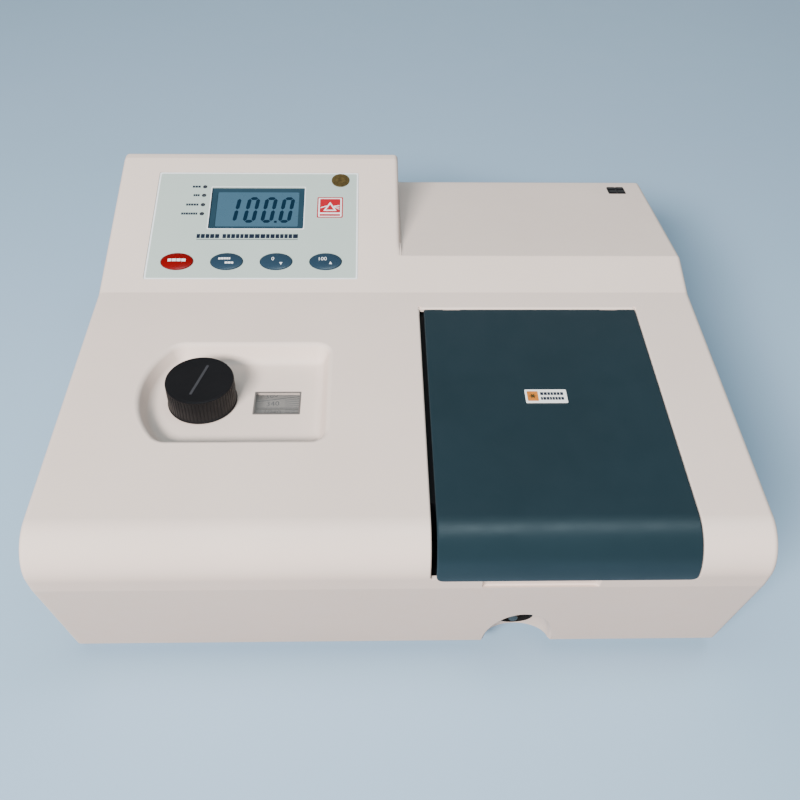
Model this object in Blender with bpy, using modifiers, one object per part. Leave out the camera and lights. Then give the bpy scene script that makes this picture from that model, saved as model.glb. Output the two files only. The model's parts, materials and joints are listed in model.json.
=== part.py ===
"""Bench spectrophotometer: a tilted console on a flat deck, a hinged sample lid and a wavelength knob.

Frame: +X to the operator's right, +Y to the back, +Z up. The origin is on the bench, under the middle.
Every size below is in millimetres. The helpers turn them into metres, which the scene is in.
"""

import math

import bmesh
import bpy
from mathutils import Matrix, Vector

MM = 0.001
GAP = 0.3  # clearance between pieces that touch

# ---- driving dimensions -------------------------------------------------------------------------
WIDTH = 420.0
HALF = WIDTH / 2
BACK = 198.2  # outer face of the back wall
COVER_BOTTOM = 14.0
WALL = 3.0
DECK_Z = 146.5
NOSE_Y, NOSE_Z, NOSE_R = -173.0, 122.5, 24.0  # rounded front of the deck
CREASE = (-195.0, 108.0)  # edge where the nose meets the skirt
SKIRT_FOOT = (-170.5, COVER_BOTTOM)
CONSOLE_Y = 29.5  # line where the deck turns up into the console
CONSOLE_TILT = 14.0
CONSOLE_LENGTH = 133.0
CONSOLE_RIGHT = 3.5  # right-hand wall of the console
RIDGE_LENGTH = 34.0  # how much of the tilted face runs on across the right-hand side
REAR_SLOPE = 10.3
EDGE_R = 3.5

BAY_X = (16.0, 167.5)  # opening for the sample lid
BAY_BACK = 11.5
BAY_FRONT_Z = 118.5
LID_X = (19.0, 166.8)
LID_RISE, LID_WALL = 1.2, 3.0
HINGE_Y, HINGE_Z, HINGE_R = 7.5, DECK_Z + LID_RISE - 3.0, 3.0
HINGE_SPOTS = (38.0, 148.0)
KNUCKLE = 12.0
PIN_R = 1.25

WELL_X, WELL_Y = (30.0, 155.0), (-142.0, -8.0)
WELL_FLOOR, WELL_TOP, WELL_WALL = 20.0, 141.5, 2.5
APRON_Z = 116.5
BEAM_Y, BEAM_Z = -75.0, 50.0
ROD_X, ROD_Z, ROD_R, ROD_TIP = 75.0, 27.0, 2.5, -163.0
RAIL_OFFSET, RAIL_R = 9.0, 2.0
SLOTS, SLOT_PITCH, SLOT_SIDE = 4, 17.0, 12.8
CARRIAGE_END = 12.5
CARRIAGE_X, CARRIAGE_Z = (62.0, 88.0), (22.0, 68.0)
CARRIAGE_Y = (BEAM_Y - CARRIAGE_END, BEAM_Y + (SLOTS - 1) * SLOT_PITCH + CARRIAGE_END)
SLOT_FLOOR = 33.0
SCOOP = (77.5, -170.5, 14.0)  # finger notch for the pull rod, a dish that leans with the skirt
SCOOP_RADII = (24.5, 14.5, 50.0)
SCOOP_HOLE_R = 10.0

POCKET_X, POCKET_Y = (-161.5, -45.0), (-114.5, -26.5)
POCKET_DEPTH, POCKET_DRAFT = 12.0, 4.5
POCKET_FLOOR = DECK_Z - POCKET_DEPTH
KNOB_X, KNOB_Y, KNOB_R, KNOB_TOP = -125.4, -68.0, 20.8, 153.0
WINDOW_X, WINDOW_Y = (-92.4, -63.0), (-80.4, -60.2)
DIAL_R, DIAL_Z = 64.0, (126.0, 127.6)

BASE_Z = (14.0, 16.0)
FLOOR = BASE_Z[1] + GAP  # where the inner pieces stand
FOOT_X, FOOT_FRONT, FOOT_REAR = 170.0, -130.0, 160.0
FOOT_SPOTS = {
    "front_left": (-FOOT_X, FOOT_FRONT),
    "front_right": (FOOT_X, FOOT_FRONT),
    "rear_left": (-FOOT_X, FOOT_REAR),
    "rear_right": (FOOT_X, FOOT_REAR),
}

MONO_X, MONO_Y, MONO_TOP, MONO_WALL = (-196.0, 8.0), (-138.0, 48.0), 88.0, 4.0
GEAR_MODULE, PINION_TEETH, SECTOR_TEETH = 1.0, 10, 120
GEAR_Z = (98.0, 102.0)
SHAFT_R = 3.0
GRATING_TURN = 32.2  # direction from the knob's axis to the grating's axis, in degrees
ENTRANCE_X = -20.0
LAMP_X, LAMP_Y = 90.0, 100.0

KEY_HALF = (11.65, 7.8)
KEY_S = 28.8
KEY_X = {"mode": -157.8, "print": -122.0, "zero": -86.3, "full_scale": -50.5}
PANEL_X, PANEL_S = (-180.0, -27.2), (12.2, 117.8)
PANEL_N = (-1.5, -0.4)
LCD_X, LCD_S = (-138.6, -68.0), (60.4, 102.3)
LED_X, LED_S = -144.2, (102.8, 93.9, 84.3, 75.2)
BOARD_N = (-11.6, -10.0)
STICKER_X, STICKER_S, STICKER_R = -41.0, 109.5, 6.85
PLUG_X, PLUG_Y, PLUG_SIDES = 189.5, 184.0, (14.0, 12.0)
LABEL_X, LABEL_Y = (79.6, 106.0), (-85.0, -73.0)

PANEL_REAR_Y = (189.5, 191.5)
INLET_X, INLET_Z = -150.0, 60.0
SWITCH_X, SWITCH_Z, ROCKER_TILT = -105.0, 60.0, 8.0
FUSE_X = 160.0
FAN_X, FAN_Z, FAN_SIDE = 90.0, 62.0, 60.0


# ---- helpers ------------------------------------------------------------------------------------
def clear_scene():
    for obj in list(bpy.data.objects):
        bpy.data.objects.remove(obj, do_unlink=True)


def collection(name):
    made = bpy.data.collections.new(name)
    bpy.context.scene.collection.children.link(made)
    return made


clear_scene()
PARTS = collection("spectrophotometer")
CUTTERS = collection("cutters")
CONSOLE = bpy.data.objects.new("console_plane", None)  # local x right, y up the tilted face, z out of it
CUTTERS.objects.link(CONSOLE)
CONSOLE.location = Vector((0, CONSOLE_Y, DECK_Z)) * MM
CONSOLE.rotation_euler = (math.radians(CONSOLE_TILT), 0, 0)


def material(name, colour, roughness=0.5, metallic=0.0):
    made = bpy.data.materials.new(name)
    made.use_nodes = True
    shader = made.node_tree.nodes["Principled BSDF"]
    shader.inputs["Base Color"].default_value = (*colour, 1)
    shader.inputs["Roughness"].default_value = roughness
    shader.inputs["Metallic"].default_value = metallic
    return made


SHELL = material("shell_plastic", (0.66, 0.62, 0.60), 0.45)
TEAL = material("lid_plastic", (0.04, 0.09, 0.11), 0.35)
BLACK = material("black_plastic", (0.02, 0.02, 0.022), 0.5)
STEEL = material("steel", (0.6, 0.6, 0.6), 0.3, 1.0)
ALUMINIUM = material("aluminium", (0.7, 0.7, 0.72), 0.4, 1.0)
ZINC = material("zinc_plate", (0.55, 0.56, 0.57), 0.5, 1.0)
RUBBER = material("rubber", (0.03, 0.03, 0.03), 0.8)
PANEL = material("panel_film", (0.48, 0.54, 0.51), 0.4)
LCD = material("lcd_glass", (0.12, 0.22, 0.30), 0.15)
BOARD = material("circuit_board", (0.03, 0.16, 0.08), 0.5)
RED = material("red_key", (0.45, 0.02, 0.03), 0.3)
BLUE = material("blue_key", (0.05, 0.13, 0.22), 0.3)
LED = material("light_pipe", (0.12, 0.02, 0.02), 0.2)
CLEAR = material("clear_window", (0.7, 0.72, 0.7), 0.1)
DIAL = material("dial_face", (0.75, 0.75, 0.72), 0.5)
BRASS = material("brass", (0.7, 0.5, 0.2), 0.3, 1.0)
MIRROR = material("mirror_glass", (0.8, 0.8, 0.82), 0.05, 1.0)
SEAL = material("seal_rubber", (0.02, 0.02, 0.02), 0.95)
CERAMIC = material("ceramic", (0.8, 0.78, 0.72), 0.4)


def place(name, mesh, look, parent=None):
    """Links a mesh as a named piece, or as a cutter where it has no material."""
    obj = bpy.data.objects.new(name, mesh)
    (PARTS if look else CUTTERS).objects.link(obj)
    if look:
        mesh.materials.append(look)
    else:
        obj.hide_render = True
        obj.display_type = "WIRE"
    obj.parent = parent
    return obj


def box(name, x, y, z, look=None, parent=None, bevel=0.0):
    mesh = bpy.data.meshes.new(name)
    bm = bmesh.new()
    size = Vector((x[1] - x[0], y[1] - y[0], z[1] - z[0]))
    centre = Vector((x[0] + x[1], y[0] + y[1], z[0] + z[1])) / 2
    bmesh.ops.create_cube(bm, size=1.0, matrix=Matrix.Diagonal((*size * MM, 1)))
    bm.to_mesh(mesh)
    bm.free()
    obj = place(name, mesh, look, parent)
    obj.location = centre * MM
    if bevel:
        soften(obj, bevel)
    return obj


def block(name, middle, half, y, look=None):
    """A box on the rear panel: its middle and half size in (x, z), and its reach in y."""
    x, z = [(centre - side, centre + side) for centre, side in zip(middle, half)]
    return box(name, x, y, z, look)


def soften(obj, width, segments=2, angle=30):
    made = obj.modifiers.new("Soft edges", "BEVEL")
    made.width = width * MM
    made.segments = segments
    made.limit_method = "ANGLE"
    made.angle_limit = math.radians(angle)
    return made


def soften_above(obj, width, foot, segments=2, angle=30):
    """Rounds the sharp edges, apart from those round the foot, which is a height in millimetres."""
    soften(obj, width, segments).limit_method = "WEIGHT"
    bm = bmesh.new()
    bm.from_mesh(obj.data)
    weight = bm.edges.layers.float.new("bevel_weight_edge")
    for edge in bm.edges:
        top = max((obj.matrix_world @ corner.co).z for corner in edge.verts)
        if top > (foot + 0.1) * MM and edge.calc_face_angle() > math.radians(angle):
            edge[weight] = 1.0
    bm.to_mesh(obj.data)
    bm.free()


AXES = {
    "x": Matrix(((0, 0, 1), (1, 0, 0), (0, 1, 0))).to_4x4(),
    "y": Matrix(((0, 1, 0), (0, 0, 1), (1, 0, 0))).to_4x4(),
    "z": Matrix.Identity(4),
}


def rod(name, at, radius, length, axis="z", look=None, parent=None, sides=24, top=None):
    """A cylinder, or a cone to radius top, that starts at the point and runs along the axis."""
    mesh = bpy.data.meshes.new(name)
    bm = bmesh.new()
    bmesh.ops.create_cone(
        bm,
        cap_ends=True,
        segments=sides,
        radius1=radius * MM,
        radius2=(radius if top is None else top) * MM,
        depth=length * MM,
        matrix=AXES[axis] @ Matrix.Translation((0, 0, length * MM / 2)),
    )
    bm.to_mesh(mesh)
    bm.free()
    obj = place(name, mesh, look, parent)
    obj.location = Vector(at) * MM
    smooth(obj)
    return obj


def smooth(obj):
    obj.data.shade_smooth()
    obj.data.set_sharp_from_angle(angle=math.radians(35))


def outline(name, points, low, high, axis="z", look=None, parent=None, holes=()):
    """A flat outline given thickness along an axis. x takes (y, z) points and y takes (z, x) points."""
    curve = bpy.data.curves.new(name, "CURVE")
    curve.dimensions = "2D"
    curve.fill_mode = "BOTH"
    curve.extrude = (high - low) / 2 * MM
    for ring in (points, *holes):
        spline = curve.splines.new("POLY")
        spline.points.add(len(ring) - 1)
        for point, (a, b) in zip(spline.points, ring):
            point.co = (a * MM, b * MM, 0, 1)
        spline.use_cyclic_u = True
    drawn = bpy.data.objects.new(name, curve)
    PARTS.objects.link(drawn)
    drawn.matrix_world = AXES[axis] @ Matrix.Translation((0, 0, (low + high) / 2 * MM))
    bpy.context.view_layer.update()
    graph = bpy.context.evaluated_depsgraph_get()
    mesh = bpy.data.meshes.new_from_object(drawn.evaluated_get(graph))
    world = drawn.matrix_world.copy()
    bpy.data.objects.remove(drawn)
    bm = bmesh.new()
    bm.from_mesh(mesh)
    bmesh.ops.remove_doubles(bm, verts=bm.verts, dist=0.01 * MM)
    bmesh.ops.dissolve_limit(bm, angle_limit=math.radians(0.5), verts=bm.verts, edges=bm.edges)
    bm.to_mesh(mesh)
    bm.free()
    obj = place(name, mesh, look, parent)
    if parent:
        mesh.transform(world)
    else:
        obj.matrix_world = world
    return obj


def turned(name, profile, at, axis="z", look=None, parent=None, sides=32):
    """A turned piece. The profile is (radius, height) pairs, from the top of the axis down the outside."""
    mesh = bpy.data.meshes.new(name)
    bm = bmesh.new()
    corners = [bm.verts.new((radius * MM, 0, height * MM)) for radius, height in profile]
    for first, second in zip(corners, corners[1:]):
        bm.edges.new((first, second))
    bm.to_mesh(mesh)
    bm.free()
    obj = place(name, mesh, look, parent)
    spin = obj.modifiers.new("Turn", "SCREW")
    spin.angle = math.tau
    spin.steps = spin.render_steps = sides
    spin.use_merge_vertices = True
    spin.merge_threshold = 0.01 * MM
    spin.use_smooth_shade = True
    obj.matrix_basis = Matrix.Translation(Vector(at) * MM) @ AXES[axis]
    return obj


def ball(name, centre, radii, lean=0.0, look=None):
    """A ball stretched to three radii. Its poles are at the front and back, clear of the skirt's plane."""
    mesh = bpy.data.meshes.new(name)
    bm = bmesh.new()
    bmesh.ops.create_uvsphere(bm, u_segments=32, v_segments=21, radius=1.0)
    bmesh.ops.transform(bm, matrix=AXES["y"], verts=bm.verts)
    bmesh.ops.transform(bm, matrix=Matrix.Diagonal((*(Vector(radii) * MM), 1)), verts=bm.verts)
    bm.to_mesh(mesh)
    bm.free()
    obj = place(name, mesh, look)
    obj.location = Vector(centre) * MM
    obj.rotation_euler.x = lean
    return obj


def change(obj, other, operation):
    """A Boolean with another object, which becomes a helper."""
    if other.name in PARTS.objects:
        PARTS.objects.unlink(other)
        CUTTERS.objects.link(other)
    other.hide_render = True
    other.display_type = "WIRE"
    made = obj.modifiers.new(operation.title(), "BOOLEAN")
    made.object = other
    made.operation = operation
    return obj


def cut(obj, *others):
    for other in others:
        change(obj, other, "DIFFERENCE")
    return obj


def join(obj, *others):
    for other in others:
        change(obj, other, "UNION")
    return obj


def arc(centre, radius, first, last, steps):
    """Points round a centre, from one angle to another in degrees."""
    turns = [math.radians(first + (last - first) * i / steps) for i in range(steps + 1)]
    return [(centre[0] + radius * math.cos(t), centre[1] + radius * math.sin(t)) for t in turns]


def inset(points, distance):
    """The outline moved inwards. The points run anticlockwise, and a negative distance grows it."""
    made = []
    for i, point in enumerate(points):
        here = Vector(point)
        before = (here - Vector(points[i - 1])).normalized()
        after = (Vector(points[(i + 1) % len(points)]) - here).normalized()
        normals = [Vector((-edge.y, edge.x)) for edge in (before, after)]
        middle = (normals[0] + normals[1]).normalized()
        made.append(tuple(here + middle * distance / max(0.3, middle.dot(normals[0]))))
    return made


def rounded(x, y, radius, steps=5):
    """A rectangle with round corners, anticlockwise."""
    corners = ((x[1], y[1], 0), (x[0], y[1], 90), (x[0], y[0], 180), (x[1], y[0], 270))
    points = []
    for cx, cy, turn in corners:
        centre = (cx - math.copysign(radius, cx - sum(x) / 2), cy - math.copysign(radius, cy - sum(y) / 2))
        points += arc(centre, radius, turn, turn + 90, steps)
    return points


def rectangle(x, y):
    return [(x[0], y[0]), (x[1], y[0]), (x[1], y[1]), (x[0], y[1])]


def loft(name, low_ring, low, high_ring, high, look=None):
    """A solid between two outlines with the same number of points, at two heights."""
    mesh = bpy.data.meshes.new(name)
    bm = bmesh.new()
    rings = [
        [bm.verts.new((x * MM, y * MM, height * MM)) for x, y in ring]
        for ring, height in ((low_ring, low), (high_ring, high))
    ]
    bm.faces.new(reversed(rings[0]))
    bm.faces.new(rings[1])
    count = len(low_ring)
    for i in range(count):
        j = (i + 1) % count
        bm.faces.new((rings[0][i], rings[0][j], rings[1][j], rings[1][i]))
    bm.to_mesh(mesh)
    bm.free()
    return place(name, mesh, look)


# ---- case ---------------------------------------------------------------------------------------
def on_console(length):
    """(y, z) of a point that far up the tilted face."""
    tilt = math.radians(CONSOLE_TILT)
    return CONSOLE_Y + length * math.cos(tilt), DECK_Z + length * math.sin(tilt)


def side_profile(foot):
    """The case from the right, anticlockwise in (y, z), with the skirt carried down to a foot."""
    slope = (SKIRT_FOOT[0] - CREASE[0]) / (CREASE[1] - SKIRT_FOOT[1])
    top_y, top_z = on_console(CONSOLE_LENGTH)
    front = arc((NOSE_Y, NOSE_Z), NOSE_R, 90, 190, 12)
    return [
        (SKIRT_FOOT[0] + slope * (COVER_BOTTOM - foot), foot),
        (BACK, foot),
        (BACK, 140.0),
        (top_y + 7.0, top_z),
        (top_y, top_z),
        (CONSOLE_Y, DECK_Z),
        *front,
        CREASE,
    ]


def rear_deck_cutter(name, drop, left):
    """What is taken off above the rear deck, to the right of the console."""
    ridge_y, ridge_z = on_console(RIDGE_LENGTH)
    end_y = BACK + 40
    end_z = ridge_z - (end_y - ridge_y) * math.tan(math.radians(REAR_SLOPE))
    points = [(ridge_y, ridge_z - drop), (end_y, end_z - drop), (end_y, 240), (ridge_y, 240)]
    return outline(name, points, left, HALF + 20, "x")


def pocket_outline(grow=0.0):
    """The knob's pocket from above: square on the right, bowed on the left."""
    left, right = POCKET_X
    front, back = POCKET_Y
    bow = 58.0
    middle = (front + back) / 2
    reach = math.degrees(math.asin((back - front - 14) / 2 / bow))
    points = arc((right - 9, back - 9), 9, 0, 90, 4)
    points += arc((left + 26, back - 14), 14, 90, 120, 2)
    points += arc((left + bow, middle), bow, 180 - reach, 180 + reach, 8)
    points += arc((left + 26, front + 14), 14, 240, 270, 2)
    points += arc((right - 9, front + 9), 9, 270, 360, 4)
    return inset(points, -grow)


def scoop(name, grow):
    """The finger notch, leaning with the skirt."""
    lean = math.atan2(SKIRT_FOOT[0] - CREASE[0], CREASE[1] - SKIRT_FOOT[1])
    return ball(name, SCOOP, [radius + grow for radius in SCOOP_RADII], lean)


def make_cover():
    cover = outline("top_cover", side_profile(COVER_BOTTOM), -HALF, HALF, "x", SHELL)
    soften_above(cover, EDGE_R, COVER_BOTTOM, 2, 32)
    cut(cover, rear_deck_cutter("rear_deck_cut", 0.0, CONSOLE_RIGHT))

    cavity = outline("cavity", inset(side_profile(-20.0), WALL), -HALF + WALL, HALF - WALL, "x")
    cut(cavity, rear_deck_cutter("cavity_deck_cut", WALL * 1.02, CONSOLE_RIGHT - WALL))
    floor_ring = pocket_outline(WALL - POCKET_DRAFT)
    backing = loft("pocket_backing", floor_ring, POCKET_FLOOR - WALL, pocket_outline(WALL), DECK_Z + 1)
    cut(cavity, backing)
    cut(cavity, scoop("scoop_backing", WALL))
    cut(cover, cavity)

    pocket_top = pocket_outline(POCKET_DRAFT / POCKET_DEPTH * 2)
    cut(cover, loft("pocket_cut", pocket_outline(-POCKET_DRAFT), POCKET_FLOOR, pocket_top, DECK_Z + 2))
    cut(cover, scoop("scoop_cut", 0.0))
    cut(cover, rod("scoop_hole", (ROD_X, SCOOP[1], ROD_Z), SCOOP_HOLE_R, 30, "y"))
    cut(cover, box("bay_cut", BAY_X, (-230, BAY_BACK), (BAY_FRONT_Z, 190)))
    wedge = [(-199, 109.0), (-194.6, 113.5), (-194.6, 121), (-199, 121)]
    cut(cover, outline("finger_cut", wedge, 45, 113.5, "x"))
    window = [(low - 0.4, high + 0.4) for low, high in (WINDOW_X, WINDOW_Y)]
    cut(cover, box("window_cut", *window, (125, 140)))
    cut(cover, rod("knob_hole", (KNOB_X, KNOB_Y, 120), SHAFT_R + 3, 40))
    recess = [(low - 0.6, high + 0.6) for low, high in (PANEL_X, PANEL_S)]
    cut(cover, box("panel_recess", *recess, (-1.8, 6), parent=CONSOLE))
    opening = [(low + 5, high - 5) for low, high in (PANEL_X, PANEL_S)]
    cut(cover, box("panel_opening", *opening, (-9, 6), parent=CONSOLE))
    cut(cover, box("rear_opening", (-178, 178), (185, 210), (30, 102)))
    return cover


def make_plug():
    """A black blanking plug near the back corner, square to the sloping deck."""
    ridge_y, ridge_z = on_console(RIDGE_LENGTH)
    slope = math.radians(REAR_SLOPE)
    at = Vector((PLUG_X, PLUG_Y, ridge_z - (PLUG_Y - ridge_y) * math.tan(slope))) * MM
    wide, deep = (side / 2 for side in PLUG_SIDES)
    plug = box("rear_plug", (-wide, wide), (-deep, deep), (-4.5, 0.8), BLACK, bevel=0.5)
    hole = box("plug_hole", (-wide - GAP, wide + GAP), (-deep - GAP, deep + GAP), (-9, 6))
    for piece in (plug, hole):
        piece.matrix_world = Matrix.Translation(at) @ Matrix.Rotation(-slope, 4, "X") @ piece.matrix_basis
    cut(bpy.data.objects["top_cover"], hole)


def make_base():
    base = box("base_plate", (-HALF + 3.7, HALF - 3.7), (-166.0, 194.4), BASE_Z, ZINC)
    cut(base, scoop("base_scoop_cut", WALL + 0.6))
    for name, (x, y) in FOOT_SPOTS.items():
        height = BASE_Z[0] - GAP
        profile = [(0, height), (12, height), (12, height - 3), (9.5, 1.2), (8.5, 0), (0, 0)]
        turned("foot_" + name, profile, (x, y, 0), look=RUBBER, sides=20)


# ---- sample bay ---------------------------------------------------------------------------------
def lid_section():
    """The lid from the right: a sheet that follows the deck and wraps down the nose."""
    outer, inner = NOSE_R + LID_RISE, NOSE_R + LID_RISE - LID_WALL
    points = [(HINGE_Y, NOSE_Z + inner), (HINGE_Y, NOSE_Z + outer)]
    points += arc((NOSE_Y, NOSE_Z), outer, 90, 188, 12)
    points += arc((NOSE_Y, NOSE_Z), inner, 188, 90, 12)
    return points


def make_lid():
    lid = outline("sample_lid", lid_section(), *LID_X, "x", TEAL)
    barrel = rod("lid_barrel", (LID_X[0], HINGE_Y, HINGE_Z), HINGE_R, LID_X[1] - LID_X[0], "x")
    join(lid, barrel)
    for i, spot in enumerate(HINGE_SPOTS):
        half = KNUCKLE / 2 + GAP
        gap = (HINGE_Y - HINGE_R - 1, HINGE_Y + HINGE_R + 1)
        cut(lid, box(f"knuckle_gap_{i}", (spot - half, spot + half), gap, (130, 155)))
        bore = (spot - 18, HINGE_Y, HINGE_Z)
        cut(lid, rod(f"lid_pin_hole_{i}", bore, PIN_R + GAP, 36, "x", sides=12))
    top = DECK_Z + LID_RISE + GAP
    box("lid_label", LABEL_X, LABEL_Y, (top, top + 0.4), PANEL)
    sides = (("left", HINGE_SPOTS[0]), ("right", HINGE_SPOTS[1]))
    for side, spot in sides:
        half = KNUCKLE / 2
        at = (spot - half, HINGE_Y, HINGE_Z)
        bracket = rod(f"lid_hinge_bracket_{side}", at, HINGE_R, KNUCKLE, "x", STEEL)
        foot = box(f"bracket_foot_{side}", (spot - half, spot + half), (5.0, 19.0), (139.0, 142.6))
        join(bracket, foot)
        bore = (spot - 9, HINGE_Y, HINGE_Z)
        cut(bracket, rod(f"bracket_bore_{side}", bore, PIN_R + GAP, 18, "x", sides=12))
        rod(f"lid_hinge_pin_{side}", (spot - 16, HINGE_Y, HINGE_Z), PIN_R, 32, "x", STEEL, sides=12)

    seal_outer = rounded((WELL_X[0] - 7, WELL_X[1] + 7), (WELL_Y[0] - 7, WELL_Y[1] + 5.5), 5, 3)
    seal_inner = rounded((WELL_X[0] - 1, WELL_X[1] + 1), (WELL_Y[0] - 1, WELL_Y[1] + 1), 2, 2)
    outline("lid_seal", seal_outer, WELL_TOP + GAP, WELL_TOP + 2.8, "z", SEAL, holes=[seal_inner])


def make_well():
    """The dark chamber: a deep box hung from a flange that closes the bay under the lid."""
    front = -192.4
    flange = [
        (22.0, WELL_TOP),
        (-160.0, WELL_TOP),
        (-168.0, APRON_Z),
        (front, APRON_Z),
        (front, APRON_Z - WELL_WALL),
        (-165.5, APRON_Z - WELL_WALL),
        (-157.5, WELL_TOP - WELL_WALL),
        (22.0, WELL_TOP - WELL_WALL),
    ]
    well = outline("sample_well", flange, 9.0, 174.5, "x", BLACK)
    cheek = [(-158.0, WELL_TOP - 1), (-166.5, APRON_Z - 1.2), (front + 0.5, APRON_Z - 1.2)]
    cheek += arc((NOSE_Y, NOSE_Z), NOSE_R - WALL - 0.6, 180, 90, 8)
    cheek += [(-158.0, NOSE_Z + NOSE_R - WALL - 0.6)]
    outer = [(low - WELL_WALL, high + WELL_WALL) for low, high in (WELL_X, WELL_Y)]
    join(well, box("well_box", *outer, (WELL_FLOOR - WELL_WALL, WELL_TOP - 1)))
    for i, x in enumerate((12.5, 168.5)):
        join(well, outline(f"well_cheek_{i}", cheek, x, x + WELL_WALL, "x"))
    cut(well, box("well_hollow", WELL_X, WELL_Y, (WELL_FLOOR, WELL_TOP + 10)))
    cut(well, rod("beam_hole", (0, BEAM_Y, BEAM_Z), 4, 190, "x", sides=16))
    cut(well, rod("rod_hole", (ROD_X, -160, ROD_Z), ROD_R + 1, 40, "y", sides=16))
    for side in (-1, 1):
        x = ROD_X + side * RAIL_OFFSET
        cut(well, rod(f"rail_seat_{side}", (x, -150, ROD_Z), RAIL_R + GAP, 160, "y", sides=16))
    for i, spot in enumerate(HINGE_SPOTS):
        cut(well, box(f"bracket_room_{i}", (spot - 7, spot + 7), (-0.5, 30), (138.6, 150)))
    room = ((LID_X[0] - 2, LID_X[1] + 1.5), (HINGE_Y - HINGE_R - 0.8, 30), (HINGE_Z - HINGE_R - 0.6, 150))
    return cut(well, box("barrel_room", *room))


def make_carriage():
    carriage = box("sample_carriage", CARRIAGE_X, CARRIAGE_Y, CARRIAGE_Z, BLACK, bevel=1.0)
    middle = sum(CARRIAGE_X) / 2
    half = SLOT_SIDE / 2
    for i in range(SLOTS):
        y = BEAM_Y + i * SLOT_PITCH
        slot = ((middle - half, middle + half), (y - half, y + half), (SLOT_FLOOR, 80))
        cut(carriage, box(f"cuvette_slot_{i}", *slot))
        cut(carriage, box(f"light_slot_{i}", (50, 100), (y - 2.5, y + 2.5), (BEAM_Z - 7, BEAM_Z + 7)))
    cut(carriage, rod("rod_socket", (ROD_X, -100, ROD_Z), ROD_R + GAP, 18.5, "y", sides=16))
    for side in (-1, 1):
        x = ROD_X + side * RAIL_OFFSET
        cut(carriage, rod(f"rail_bore_{side}", (x, -120, ROD_Z), RAIL_R + GAP, 130, "y", sides=16))
    for name, side in (("left", -1), ("right", 1)):
        x = ROD_X + side * RAIL_OFFSET
        length = WELL_Y[1] - WELL_Y[0] + 4
        rod(f"guide_rail_{name}", (x, WELL_Y[0] - 2, ROD_Z), RAIL_R, length, "y", STEEL, sides=16)
    first, last = ROD_TIP + 2, CARRIAGE_Y[0] + 5.5
    rod("pull_rod", (ROD_X, first, ROD_Z), ROD_R, last - first, "y", STEEL, sides=16)
    grip = [(0, 9), (3.9, 9), (4.4, 8.2), (3.6, 6.4), (3.6, 4.6), (4.4, 2.8), (4.4, 0.9), (3.6, 0), (0, 0)]
    knob = turned("pull_rod_grip", grip, (ROD_X, ROD_TIP, ROD_Z), "y", STEEL, sides=20)
    cut(knob, rod("grip_socket", (ROD_X, ROD_TIP + 2 - GAP, ROD_Z), ROD_R + GAP, 20, "y", sides=16))
    bush = rod("rod_bushing", (ROD_X, WELL_Y[0] - WELL_WALL - GAP - 5, ROD_Z), 8, 5, "y", BRASS)
    cut(bush, rod("bushing_bore", (ROD_X, -165, ROD_Z), ROD_R + GAP, 30, "y", sides=16))


# ---- wavelength drive and optics ----------------------------------------------------------------
def gear_ring(teeth, first, last, at, phase=0.0):
    """The toothed edge of a spur gear between two tooth numbers, anticlockwise about a point."""
    pitch = GEAR_MODULE * teeth / 2
    step = math.tau / teeth
    points = []
    for i in range(first, last):
        middle = i * step + phase
        for radius, share in ((-1.2, -0.36), (0.85, -0.13), (0.85, 0.13), (-1.2, 0.36)):
            turn = middle + share * step
            reach = pitch + radius * GEAR_MODULE
            points.append((at[0] + reach * math.cos(turn), at[1] + reach * math.sin(turn)))
    return points


def grating_axis():
    reach = GEAR_MODULE * (PINION_TEETH + SECTOR_TEETH) / 2
    turn = math.radians(GRATING_TURN)
    return KNOB_X + reach * math.cos(turn), KNOB_Y + reach * math.sin(turn)


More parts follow.
